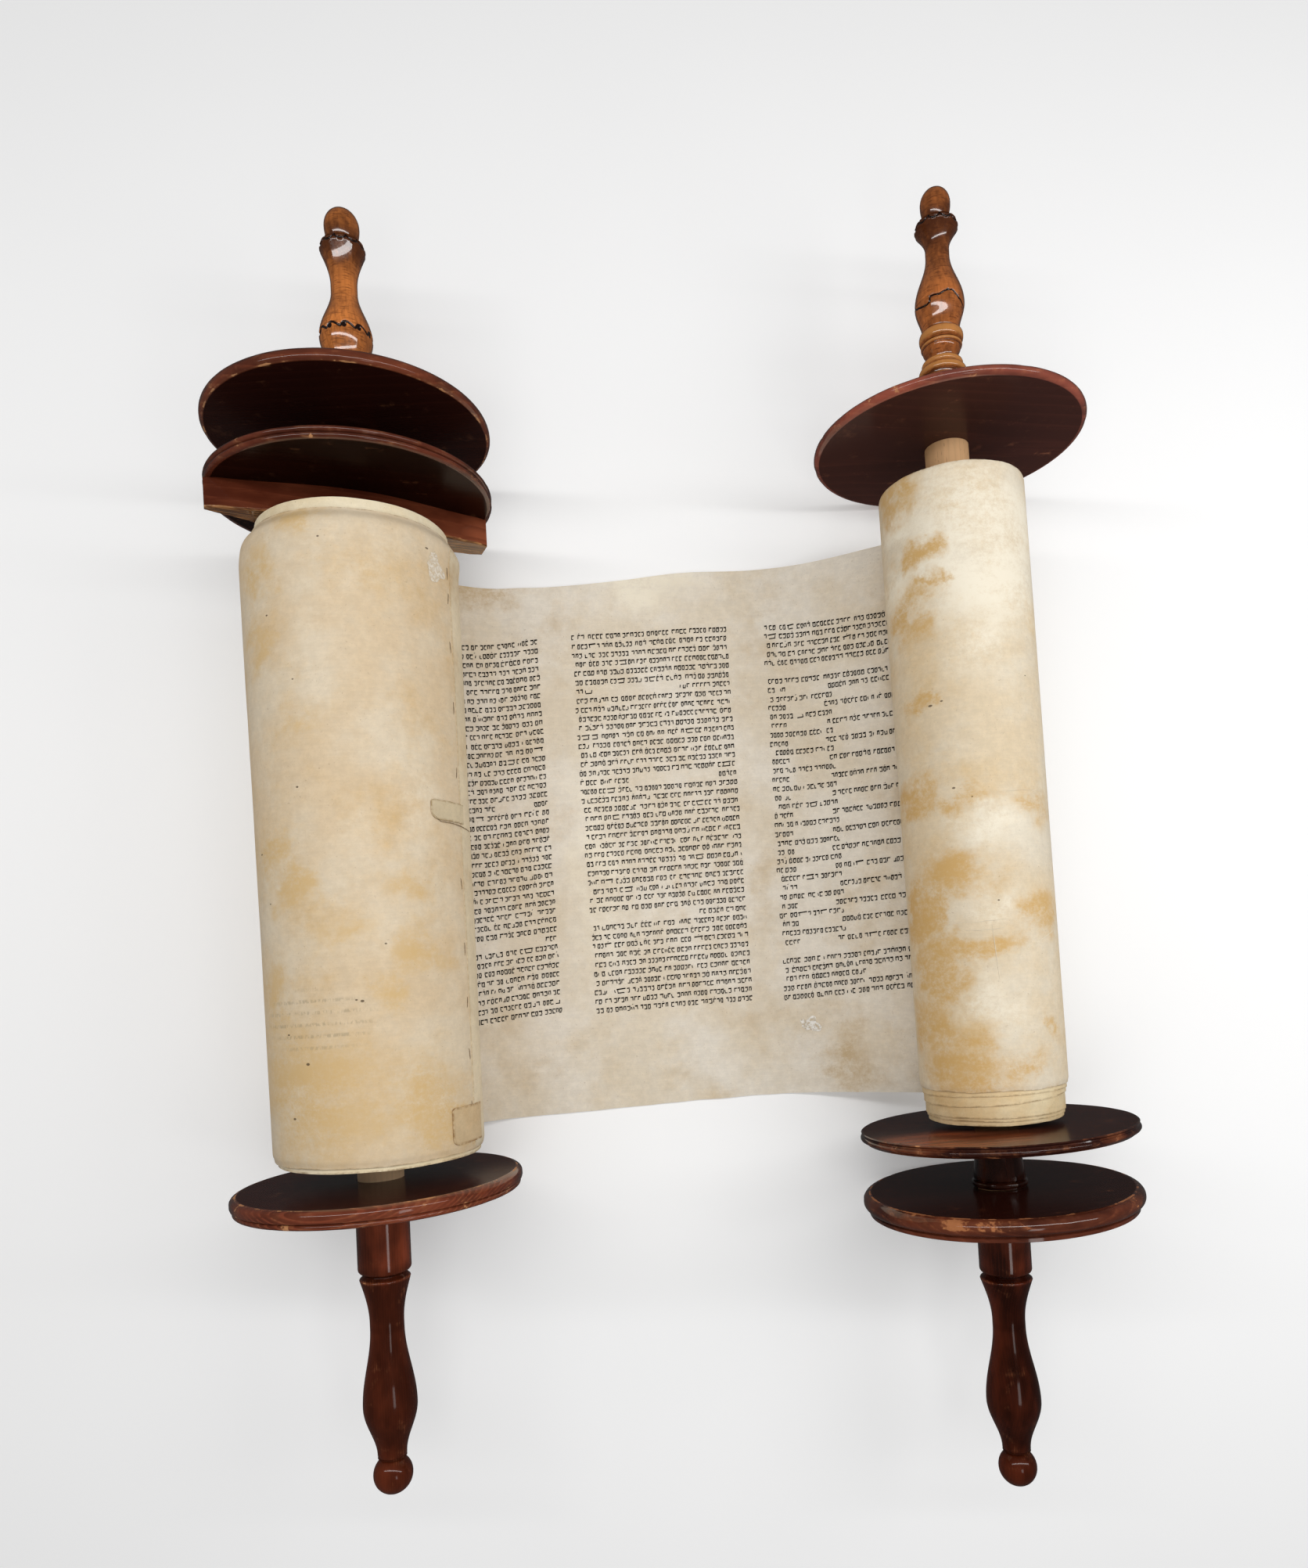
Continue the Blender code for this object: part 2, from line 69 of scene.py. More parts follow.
def upper_end(node):
    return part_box(node)[1].y


def lower_end(node):
    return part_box(node)[0].y


LEFT_AXIS = middle("left_rod")
RIGHT_TOP = middle("right_upper_disc")
RIGHT_FOOT = middle("right_lower_outer_disc")
RIGHT_TURN = math.atan2(RIGHT_FOOT.x - RIGHT_TOP.x, RIGHT_TOP.y - RIGHT_FOOT.y)
AXIS_HEIGHT = LEFT_AXIS.z
OUTER_DISC_HEIGHT = 0.3152
ROLLER_ZERO = middle("left_upper_outer_disc").y - OUTER_DISC_HEIGHT


def on_left_axis(y):
    return Vector((LEFT_AXIS.x, y, AXIS_HEIGHT))


def on_right_axis(y):
    return Vector((RIGHT_FOOT.x - math.tan(RIGHT_TURN) * (y - RIGHT_FOOT.y), y, AXIS_HEIGHT))


# ---------------------------------------------------------------- working by hand

def select_only(piece):
    bpy.ops.object.select_all(action="DESELECT")
    piece.select_set(True)
    bpy.context.view_layer.objects.active = piece


def start(name, adder, **sizes):
    """A new primitive, selected alone and named."""
    bpy.ops.object.select_all(action="DESELECT")
    adder(**sizes)
    piece = bpy.context.object
    piece.name = name
    piece.data.name = name
    return piece


def open_edit(piece):
    select_only(piece)
    bpy.ops.object.mode_set(mode="EDIT")


def close_edit():
    bpy.ops.object.mode_set(mode="OBJECT")


def settle(piece, place=(0.0, 0.0, 0.0), turn=(0.0, 0.0, 0.0)):
    """Puts a piece in its place and moves that place into its mesh."""
    select_only(piece)
    piece.matrix_world = Matrix.Translation(place) @ Euler(turn).to_matrix().to_4x4()
    bpy.ops.object.transform_apply(location=True, rotation=True, scale=True)
    return piece


def weld_and_face_out():
    """In edit mode: merges points that coincide and turns every face outwards."""
    bpy.ops.mesh.select_all(action="SELECT")
    bpy.ops.mesh.remove_doubles(threshold=WELD)
    bpy.ops.mesh.normals_make_consistent(inside=False)
    close_edit()


def face_outwards(piece):
    open_edit(piece)
    weld_and_face_out()


def smooth(piece, degrees=35):
    select_only(piece)
    bpy.ops.object.shade_smooth_by_angle(angle=math.radians(degrees))


def thicken(piece, thickness, offset=0.0):
    """Gives a flat or wound sheet its thickness."""
    select_only(piece)
    wall = piece.modifiers.new("wall", "SOLIDIFY")
    wall.thickness = thickness
    wall.offset = offset
    bpy.ops.object.modifier_apply(modifier=wall.name)


def mark(piece, name, value_at):
    """Stores a value from 0 to 1 at every vertex, for the materials to read."""
    layer = piece.data.attributes.new(name, "FLOAT", "POINT")
    values = [value_at(vertex.co) for vertex in piece.data.vertices]
    layer.data.foreach_set("value", values)


def move_points(piece, moved):
    """Shapes a mesh point by point, as a sculptor does."""
    points = piece.data.vertices
    flat = [0.0] * (3 * len(points))
    for index, vertex in enumerate(points):
        flat[3 * index:3 * index + 3] = moved(vertex.co)
    points.foreach_set("co", flat)
    piece.data.update()


def turn_on_lathe(name, profile, steps):
    """Turns a profile about Y. Each of its points is (radius, height, wear, rim)."""
    piece = start(name, bpy.ops.mesh.primitive_plane_add, size=0.001)
    open_edit(piece)
    bpy.ops.mesh.select_all(action="SELECT")
    bpy.ops.mesh.merge(type="CENTER")
    last = Vector((0.0, 0.0, 0.0))
    for index, (radius, height, *_) in enumerate(profile):
        point = Vector((radius, height, 0.0))
        if index == 0:
            bpy.ops.transform.translate(value=point - last)
        else:
            bpy.ops.mesh.extrude_region_move(TRANSFORM_OT_translate={"value": point - last})
        last = point
    bpy.ops.mesh.select_all(action="SELECT")
    bpy.ops.mesh.spin(steps=steps, angle=math.tau, center=(0, 0, 0), axis=(0, 1, 0))
    weld_and_face_out()
    marks = {}
    for radius, height, wear, rim in profile:
        marks[(round(radius, 5), round(height, 5))] = (wear, rim)

    def marked(which):
        return lambda co: nearest_mark(marks, round(math.hypot(co.x, co.z), 5), round(co.y, 5))[which]

    mark(piece, "wear", marked(0))
    mark(piece, "rim", marked(1))
    return piece


def nearest_mark(marks, radius, height):
    if (radius, height) in marks:
        return marks[(radius, height)]
    near = min(marks, key=lambda known: (known[0] - radius) ** 2 + (known[1] - height) ** 2)
    return marks[near]


def finish_piece(piece, material, slot, *nodes, smooth_to=35):
    smooth(piece, smooth_to)
    piece.data.materials.clear()
    piece.data.materials.append(material)
    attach(piece, BODY)
    if nodes:
        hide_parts(*nodes)
    return piece


# ---------------------------------------------------------------- profiles

def ease(share):
    """Slow, fast, slow from 0 to 1."""
    share = min(1.0, max(0.0, share))
    return share * share * (3 - 2 * share)


def between(pair, share):
    return pair[0] + (pair[1] - pair[0]) * share


def plain(points, wear=0.0, rim=0.0):
    return [(radius, height, wear, rim) for radius, height in points]


def ripple(x, y, z):
    """Smooth noise, from about -1 to 1."""
    return noise.noise(Vector((x, y, z)))


def drawn(begin, end, steps, swing):
    """Points from one to another, without the first: swing says how far across each share of the way is."""
    points = []
    for step in range(1, steps + 1):
        share = step / steps
        across = begin[0] + (end[0] - begin[0]) * swing(share)
        points.append((across, begin[1] + (end[1] - begin[1]) * share))
    return points


def line(begin, end, steps):
    return drawn(begin, end, steps, lambda share: share)


def flow(begin, end, steps):
    """An S-curve."""
    return drawn(begin, end, steps, lambda share: 0.5 - 0.5 * math.cos(math.pi * share))


def cove(begin, end, steps):
    """A hollow quarter, fast at first."""
    return drawn(begin, end, steps, lambda share: math.sin(math.pi / 2 * share))


def bead(edge, crown, high, low, steps):
    """A half-round swelling from one height down to another."""
    points = []
    for step in range(steps + 1):
        angle = math.pi * step / steps
        radius = edge + (crown - edge) * math.sin(angle)
        points.append((radius, high + (low - high) * (0.5 - 0.5 * math.cos(angle))))
    return points


def arc(centre, radius_across, radius_up, from_degrees, to_degrees, steps):
    """Part of an ellipse in a profile. Degrees count from straight out, upwards."""
    points = []
    for step in range(steps + 1):
        angle = math.radians(from_degrees + (to_degrees - from_degrees) * step / steps)
        points.append((centre[0] + radius_across * math.cos(angle), centre[1] + radius_up * math.sin(angle)))
    return points


# ---------------------------------------------------------------- material parts

def add_node(tree, kind, feeds=None, **settings):
    """A shader node with its settings and what feeds its sockets."""
    node = tree.nodes.new("ShaderNode" + kind)
    for name, value in settings.items():
        setattr(node, name, value)
    for socket, value in (feeds or {}).items():
        if isinstance(value, bpy.types.NodeSocket):
            tree.links.new(value, node.inputs[socket])
        else:
            node.inputs[socket].default_value = value
    return node


def reckon(tree, operation, *values, clamp=False):
    feeds = dict(enumerate(values))
    return add_node(tree, "Math", feeds, operation=operation, use_clamp=clamp).outputs[0]


def times(tree, first, second, clamp=False):
    return reckon(tree, "MULTIPLY", first, second, clamp=clamp)


def paint(tree, shader, shade):
    tree.links.new(shade, shader.inputs["Base Color"])


def mix_colours(tree, share, first, second, blend="MIX"):
    feeds = {0: share, 6: first, 7: second}
    node = add_node(tree, "Mix", feeds, data_type="RGBA", blend_type=blend)
    return node.outputs[2]


def step_between(tree, value, low, high, to_low=0.0, to_high=1.0):
    feeds = {"Value": value, "From Min": low, "From Max": high, "To Min": to_low, "To Max": to_high}
    return add_node(tree, "MapRange", feeds, interpolation_type="SMOOTHSTEP").outputs[0]


def cloudy(tree, position, scale, detail=4.0, roughness=0.55):
    feeds = {"Vector": position, "Scale": scale, "Detail": detail, "Roughness": roughness}
    return add_node(tree, "TexNoise", feeds).outputs["Fac"]


def on_vectors(tree, operation, first, second):
    return add_node(tree, "VectorMath", {0: first, 1: second}, operation=operation).outputs[0]


def stretched(tree, position, sizes):
    return on_vectors(tree, "MULTIPLY", position, sizes)


def colour(red, green, blue):
    return (red, green, blue, 1.0)


def darker(shade, share):
    return colour(*(share * part for part in shade[:3]))


def new_group(name, takes, gives):
    """A node group with named inputs and outputs. A number makes a value input, a tuple a vector."""
    group = bpy.data.node_groups.new(name, "ShaderNodeTree")
    for title, value in takes.items():
        kind = "NodeSocketFloat"
        if isinstance(value, tuple):
            kind = "NodeSocketColor" if len(value) == 4 else "NodeSocketVector"
        socket = group.interface.new_socket(title, in_out="INPUT", socket_type=kind)
        socket.default_value = value
    for title, kind in gives.items():
        group.interface.new_socket(title, in_out="OUTPUT", socket_type="NodeSocket" + kind)
    return group, group.nodes.new("NodeGroupInput").outputs, group.nodes.new("NodeGroupOutput").inputs


def place_group(tree, group, feeds):
    return add_node(tree, "Group", feeds, node_tree=group).outputs


def timber_figure_group():
    """Growth rings cut by the surface, with the grain along X, and fine fibres along it."""
    takes = {"Position": (0.0, 0.0, 0.0), "Pith Depth": 0.12, "Ring Width": 0.006, "Waviness": 0.012}
    gives = {"Rings": "Float", "Fibre": "Float", "Cloud": "Float"}
    group, take, give = new_group("timber_figure", takes, gives)
    drawn_out = stretched(group, take["Position"], (0.35, 1.0, 1.0))
    wander = reckon(group, "SUBTRACT", cloudy(group, drawn_out, 9.0, 3.0), 0.5)
    parts = add_node(group, "SeparateXYZ", {0: drawn_out}).outputs
    across = reckon(group, "ADD", parts[1], take["Pith Depth"])
    squared = reckon(group, "MULTIPLY_ADD", across, across, times(group, parts[2], parts[2]))
    distance = reckon(group, "SQRT", squared)
    distance = reckon(group, "MULTIPLY_ADD", wander, take["Waviness"], distance)
    turn = reckon(group, "FRACT", reckon(group, "DIVIDE", distance, take["Ring Width"]))
    late = reckon(group, "POWER", turn, 2.5)
    fade = step_between(group, turn, 0.90, 1.0, 1.0, 0.0)
    group.links.new(times(group, late, fade), give["Rings"])
    threads = stretched(group, take["Position"], (14.0, 420.0, 420.0))
    group.links.new(cloudy(group, threads, 1.0, 3.0, 0.6), give["Fibre"])
    group.links.new(cloudy(group, drawn_out, 26.0, 4.0, 0.6), give["Cloud"])
    return group


def worn_edge_group():
    """Where handling has rubbed the varnish off: the marked edges, broken up by noise."""
    takes = {"Position": (0.0, 0.0, 0.0), "Edge": 0.0, "Amount": 0.5, "Patch Size": 60.0}
    group, take, give = new_group("worn_edge", takes, {"Bare": "Float", "Thin": "Float"})
    patches = cloudy(group, take["Position"], take["Patch Size"], 5.0, 0.65)
    patches = reckon(group, "MULTIPLY_ADD", patches, 1.6, -0.30)
    reach = times(group, take["Edge"], take["Amount"])
    level = reckon(group, "ADD", patches, reach)
    group.links.new(step_between(group, level, 0.92, 1.02), give["Bare"])
    group.links.new(step_between(group, level, 0.62, 1.00), give["Thin"])
    return group


def parchment_skin_group():
    """Scraped hide: broad cloudy tones, blotches, fine follicle specks and drawn-out scraping marks."""
    takes = {
        "Position": (0.0, 0.0, 0.0),
        "Pale": colour(0.83, 0.70, 0.49),
        "Cream": colour(0.72, 0.57, 0.36),
        "Ochre": colour(0.56, 0.36, 0.16),
        "Stain": 0.0,
    }
    gives = {"Color": "Color", "Relief": "Float", "Polish": "Float"}
    group, take, give = new_group("parchment_skin", takes, gives)
    place = take["Position"]
    broad = step_between(group, cloudy(group, place, 11.0, 6.0, 0.62), 0.38, 0.62)
    skin = mix_colours(group, broad, take["Cream"], take["Pale"])
    blotch = reckon(group, "ADD", cloudy(group, place, 17.0, 7.0, 0.66), take["Stain"])
    skin = mix_colours(group, step_between(group, blotch, 0.47, 0.80, 0.0, 0.85), skin, take["Ochre"])
    mottle = step_between(group, cloudy(group, place, 150.0, 6.0, 0.8), 0.35, 0.70, 0.93, 1.04)
    scraped = cloudy(group, stretched(group, place, (40.0, 480.0, 120.0)), 1.0, 5.0, 0.75)
    mottle = times(group, mottle, step_between(group, scraped, 0.36, 0.66, 0.975, 1.018))
    skin = mix_colours(group, 1.0, skin, mottle, "MULTIPLY")
    specks = step_between(group, cloudy(group, place, 520.0, 2.0), 0.68, 0.74, 0.0, 0.35)
    skin = mix_colours(group, specks, skin, colour(0.36, 0.24, 0.13))
    scraping = cloudy(group, stretched(group, place, (160.0, 12.0, 160.0)), 1.0, 3.0)
    relief = reckon(group, "MULTIPLY_ADD", scraping, 0.35, cloudy(group, place, 180.0, 5.0))
    group.links.new(skin, give["Color"])
    group.links.new(relief, give["Relief"])
    group.links.new(step_between(group, broad, 0.0, 1.0, 0.62, 0.46), give["Polish"])
    return group


def spot_closeness_group():
    """How near a place is to a spot's middle, with the spot drawn out along X, Y and Z by its sizes."""
    takes = {"Position": (0.0, 0.0, 0.0), "Centre": (0.0, 0.0, 0.0), "Sizes": (0.1, 0.1, 0.1)}
    takes["Strength"] = 1.0
    group, take, give = new_group("spot_closeness", takes, {"Closeness": "Float"})
    away = on_vectors(group, "SUBTRACT", take["Position"], take["Centre"])
    scaled = on_vectors(group, "DIVIDE", away, take["Sizes"])
    length = add_node(group, "VectorMath", {0: scaled}, operation="LENGTH").outputs["Value"]
    near = reckon(group, "SUBTRACT", 1.0, length, clamp=True)
    group.links.new(times(group, near, take["Strength"]), give["Closeness"])
    return group


TIMBER_FIGURE = timber_figure_group()
WORN_EDGE = worn_edge_group()
PARCHMENT_SKIN = parchment_skin_group()
SPOT_CLOSENESS = spot_closeness_group()


def closeness(tree, place, centre, sizes, strength=1.0):
    """How near a place is to a spot, from 0 at its edge to its strength in the middle."""
    feeds = {"Position": place, "Centre": centre, "Sizes": sizes, "Strength": strength}
    return place_group(tree, SPOT_CLOSENESS, feeds)["Closeness"]


def new_material(name, roughness=0.5, specular=0.5, coat=0.0, coat_roughness=0.1):
    material = bpy.data.materials.new(name)
    material.use_nodes = True
    shader = material.node_tree.nodes["Principled BSDF"]
    shader.inputs["Roughness"].default_value = roughness
    shader.inputs["Specular IOR Level"].default_value = specular
    shader.inputs["Coat Weight"].default_value = coat
    shader.inputs["Coat Roughness"].default_value = coat_roughness
    return material, material.node_tree, shader


def object_position(tree, centre=(0.0, 0.0, 0.0), turn=(0.0, 0.0, 0.0)):
    """Object coordinates measured from a point, and turned so that X runs along the grain."""
    place = add_node(tree, "TexCoord").outputs["Object"]
    place = on_vectors(tree, "SUBTRACT", place, centre)
    return add_node(tree, "Mapping", {"Vector": place, "Rotation": turn}).outputs[0]


def attribute(tree, name):
    return add_node(tree, "Attribute", attribute_name=name).outputs["Fac"]


def raise_bump(tree, shader, height, strength, distance):
    feeds = {"Height": height, "Strength": strength, "Distance": distance}
    tree.links.new(add_node(tree, "Bump", feeds).outputs[0], shader.inputs["Normal"])


def varnished_wood(
    name, tones, centre, turn, rings=(0.12, 0.006), worn=0.44, streaks=0.4, rim_tone_and_light=0.4, painted_light_patch=None,
):
    """Stained and varnished wood: ruddier and glossier on rims and beads, the rims' ruddier tone partly their
    own stain and partly painted light where they face the lamps; darker on rims seen edge-on, partly deeper
    varnish and partly painted shade; bare where it is rubbed. The painted light patch is one warm patch of
    painted light on a face, as (centre, sizes, strength)."""
    deep, ruddy, bare = tones
    material, tree, shader = new_material(name, 0.2, 0.10, 0.0, 0.08)
    shader.inputs["Specular Tint"].default_value = colour(1.0, 0.55, 0.42)
    place = object_position(tree, centre, turn)
    feeds = {"Position": place, "Pith Depth": rings[0], "Ring Width": rings[1]}
    figure = place_group(tree, TIMBER_FIGURE, feeds)
    feeds = {"Position": place, "Edge": attribute(tree, "wear"), "Amount": worn}
    wear = place_group(tree, WORN_EDGE, feeds)
    rim = attribute(tree, "rim")
    rings_seen = step_between(tree, figure["Rings"], 0.05, 0.75)
    lines = times(tree, rings_seen, step_between(tree, figure["Fibre"], 0.30, 0.62))
    clouds = step_between(tree, figure["Cloud"], 0.36, 0.66, -0.35, 0.65)
    # Rims: their own ruddy stain, lifted by the rim tone, which is partly painted light where the rims face
    # the lamps.
    rim_stain_and_light = reckon(tree, "MULTIPLY_ADD", clouds, 0.55, rim_tone_and_light)
    rim_stain_and_light = reckon(tree, "MULTIPLY_ADD", lines, streaks, rim_stain_and_light)
    on_face = reckon(tree, "MULTIPLY_ADD", lines, 0.045, 0.01)
    ruddy_stain_and_light = times(tree, rim_stain_and_light, rim, clamp=True)
    ruddy_stain_and_light = reckon(tree, "MAXIMUM", ruddy_stain_and_light, on_face)
    # The painted light patch: warm painted light on one face, kept off the rim and broken up by the figure.
    if painted_light_patch:
        spot, sizes, strength = painted_light_patch
        near = closeness(tree, object_position(tree), spot, sizes)
        near = step_between(tree, near, 0.0, 0.55, 0.0, strength)
        off_rim = reckon(tree, "SUBTRACT", 1.0, rim, clamp=True)
        patches = step_between(tree, figure["Cloud"], 0.30, 0.62, 0.35, 1.15)
        for share in (off_rim, patches, reckon(tree, "MULTIPLY_ADD", rings_seen, -0.40, 1.1)):
            near = times(tree, near, share)
        ruddy_stain_and_light = reckon(tree, "MAXIMUM", ruddy_stain_and_light, near)
    stained = mix_colours(tree, ruddy_stain_and_light, deep, ruddy)
    # Darker on rims seen edge-on: partly the longer path through thick varnish, partly painted shade.
    seen_across = add_node(tree, "LayerWeight", {"Blend": 0.35}).outputs["Facing"]
    varnish_depth_and_shade = step_between(tree, times(tree, seen_across, rim), 0.25, 0.90, 0.0, 0.75)
    stained = mix_colours(tree, varnish_depth_and_shade, stained, deep)
    rubbed = mix_colours(tree, 0.40, ruddy, bare)
    thin = times(tree, wear["Thin"], reckon(tree, "MULTIPLY_ADD", lines, 0.55, 0.12))
    thinned = mix_colours(tree, thin, stained, rubbed)
    grain_in_bare = mix_colours(tree, figure["Fibre"], mix_colours(tree, 0.5, bare, ruddy), bare)
    paint(tree, shader, mix_colours(tree, wear["Bare"], thinned, grain_in_bare))
    dulled = reckon(tree, "MULTIPLY_ADD", wear["Bare"], 0.35, 0.17)
    tree.links.new(reckon(tree, "MULTIPLY_ADD", figure["Cloud"], 0.08, dulled), shader.inputs["Roughness"])
    polish = reckon(tree, "SUBTRACT", times(tree, rim, 1.2), wear["Bare"], clamp=True)
    tree.links.new(polish, shader.inputs["Coat Weight"])
    height = reckon(tree, "ADD", figure["Fibre"], figure["Cloud"])
    height = reckon(tree, "SUBTRACT", times(tree, height, 0.8), wear["Bare"])
    raise_bump(tree, shader, height, 0.35, 0.0003)
    return material


# ---------------------------------------------------------------- discs

ROD_BORE = 0.0178
DISC_STEPS = 192
DISC_RADIUS = 0.1088


def disc_face_rings(radius, height, inwards):
    """Rings across a face, from the bore out or from the rim in."""
    stops = [ROD_BORE, 0.030, 0.055, 0.080, radius - 0.006, radius - 0.0008]
    if inwards:
        stops.reverse()
    return [(stop, height, 0.0, 0.0) for stop in stops]


def disc_profile(radius, thickness, rim):
    """A bored disc. Its rim is listed from the top face down as (inset, height, wear)."""
    half = thickness / 2
    points = disc_face_rings(radius - rim[0][0], half, False)
    points += [(radius - inset, height, wear, 1.0) for inset, height, wear in rim]
    points += disc_face_rings(radius - rim[-1][0], -half, True)
    points.append((ROD_BORE, half, 0.0, 0.0))
    return points


def rim_arc(inset_centre, height_centre, across, up, from_degrees, to_degrees, steps, wear=0.35):
    """Part of an ellipse on a rim, as (inset, height, wear)."""
    points = arc((-inset_centre, height_centre), across, up, from_degrees, to_degrees, steps)
    return [(-radius, height, wear) for radius, height in points]


def outer_rim(thickness):
    """Fully rounded above, with a crisp worn arris below."""
    half = thickness / 2
    rim = [(0.0068, half, 0.5)]
    rim += rim_arc(0.0060, half - 0.0056, 0.0060, 0.0056, 85, 0, 8, 0.30)
    rim += rim_arc(0.0028, -half + 0.0032, 0.0028, 0.0028, 0, -60, 6, 0.45)
    return rim + [(0.0018, -half + 0.0003, 1.0), (0.0026, -half, 0.9)]


def twin_bead_rim(thickness):
    """Two round beads with a sharp groove between them."""
    half = thickness / 2
    radius = half / 2 - 0.0001
    rim = [(0.0034, half, 0.2)]
    rim += rim_arc(radius, half - radius, radius, radius, 70, -80, 9, 0.55)
    rim += [(0.0024, 0.0, 0.0)]
    rim += rim_arc(radius, -half + radius, radius, radius, 80, -70, 9, 0.6)
    return rim + [(0.0034, -half, 0.2)]


def plain_round_rim(thickness):
    """One simple round."""
    half = thickness / 2
    rim = [(0.0034, half, 0.3)]
    rim += rim_arc(0.0032, 0.0, 0.0032, half - 0.0002, 82, -82, 14, 0.75)
    return rim + [(0.0034, -half, 0.3)]


def groove_and_bead_rim(thickness):
    """A tall rounded band, a groove, and a smaller bead set back below it."""
    half = thickness / 2
    rim = [(0.0046, half, 0.9), (0.0036, half - 0.0003, 1.0)]
    rim += rim_arc(0.0044, half - 0.0044, 0.0044, 0.0040, 68, 0, 7, 0.45)
    rim += [(0.0, -0.0004, 0.4), (0.0004, -0.0014, 0.75), (0.0030, -0.0022, 0.2), (0.0032, -0.0028, 0.2)]
    rim += rim_arc(0.0042, -half + 0.0026, 0.0026, 0.0022, 70, -70, 7, 0.55)
    return rim + [(0.0052, -half, 0.2)]


def stepped_round_rim(thickness):
    """A fine step just under the top arris, then a full round."""
    half = thickness / 2
    rim = [(0.0016, half, 0.6), (0.0008, half - 0.0006, 0.8), (0.0010, half - 0.0012, 0.2)]
    rim += [(0.0024, half - 0.0016, 0.0), (0.0018, half - 0.0021, 0.3)]
    rim += rim_arc(0.0030, -0.0006, 0.0030, half - 0.0022, 62, -80, 10, 0.5)
    return rim + [(0.0042, -half, 0.2)]


def fat_ovolo_rim(thickness):
    """A worn top arris, a fat quarter-round, a quirk and a fillet."""
    half = thickness / 2
    rim = [(0.0062, half, 1.0), (0.0050, half - 0.0002, 1.2)]
    rim += rim_arc(0.0064, half - 0.0066, 0.0064, 0.0064, 76, 0, 9, 0.62)
    rim += rim_arc(0.0064, half - 0.0070, 0.0064, 0.0060, 0, -62, 7, 0.30)
    rim += [(0.0050, -half + 0.0038, 0.0), (0.0056, -half + 0.0032, 0.0), (0.0046, -half + 0.0028, 0.2)]
    return rim + [(0.0046, -half + 0.0004, 0.3), (0.0052, -half, 0.1)]


def nick_edges(piece, seed, depth):
    """Small dents and a hand-turned waviness round the marked edges of a disc."""
    wear = piece.data.attributes["wear"].data
    worn = {index: wear[index].value for index in range(len(wear))}
    order = iter(range(len(piece.data.vertices)))

    def dented(co):
        share = worn[next(order)]
        if share < 0.25:
            return co
        radius = math.hypot(co.x, co.z)
        spot = Vector((co.x * 95, co.y * 95 + seed, co.z * 95))
        dent = max(0.0, noise.noise(spot) - 0.18) * depth * share
        scale = (radius - dent) / radius
        return (co.x * scale, co.y, co.z * scale)

    move_points(piece, dented)


def chip_rim(piece, begin, end, amount):
    """Rubs the finish off the upper half of a rim between two angles."""
    values = piece.data.attributes["wear"].data
    for vertex in piece.data.vertices:
        angle = math.degrees(math.atan2(vertex.co.x, vertex.co.z))
        within = min(ease((angle - begin) / 4), ease((end - angle) / 4))
        high = ease((vertex.co.y + 0.0010) / 0.0025)
        out = ease((math.hypot(vertex.co.x, vertex.co.z) - DISC_RADIUS + 0.005) / 0.002)
        value = values[vertex.index]
        value.value = max(value.value, amount * within * high * out)


def make_disc(
    name, node, slot, rim_maker, thickness, seed, leans, tones, figure_turn, look,
    radius=DISC_RADIUS, shift=(0.0, 0.0), chips=None,
):
    """A turned disc in the place of its node, leaning about X and Z by its angles in degrees."""
    piece = turn_on_lathe(name, disc_profile(radius, thickness, rim_maker(thickness)), DISC_STEPS)
    nick_edges(piece, seed, 0.0012)
    if chips:
        chip_rim(piece, *chips)
    about_x, about_z = (math.radians(angle) for angle in leans)
    if node.startswith("right"):
        about_z += RIGHT_TURN
    centre = middle(node)
    settle(piece, centre + Vector((*shift, 0.0)), (about_x, 0.0, about_z))
    turn = (0.0, math.radians(figure_turn), 0.0)
    varnish = varnished_wood(node + "_varnish", tones, centre, turn, **look)
    finish_piece(piece, varnish, slot, node, smooth_to=30)


# Of each stained wood: its deepest tone, its ruddiest, and what shows where it is rubbed bare.
BARE_WOOD = colour(0.60, 0.30, 0.13)
NEAR_BLACK = (colour(0.0075, 0.0017, 0.0009), colour(0.150, 0.036, 0.018), BARE_WOOD)
MAHOGANY = (colour(0.0270, 0.0066, 0.0044), colour(0.190, 0.048, 0.022), BARE_WOOD)
RUSSET = (colour(0.0340, 0.0070, 0.0044), colour(0.210, 0.050, 0.023), BARE_WOOD)
CHERRY_RED = (colour(0.054, 0.0200, 0.0160), colour(0.400, 0.100, 0.062), BARE_WOOD)
FOOT_BROWN = (colour(0.026, 0.0066, 0.0046), colour(0.400, 0.105, 0.038), BARE_WOOD)
RUBBED_MAHOGANY = MAHOGANY[:2] + (colour(0.50, 0.20, 0.078),)
INNER_DISC_LEANS = (1.0, 0.2)
DOWN_THE_ROD = (0.0, 0.0, -math.pi / 2)


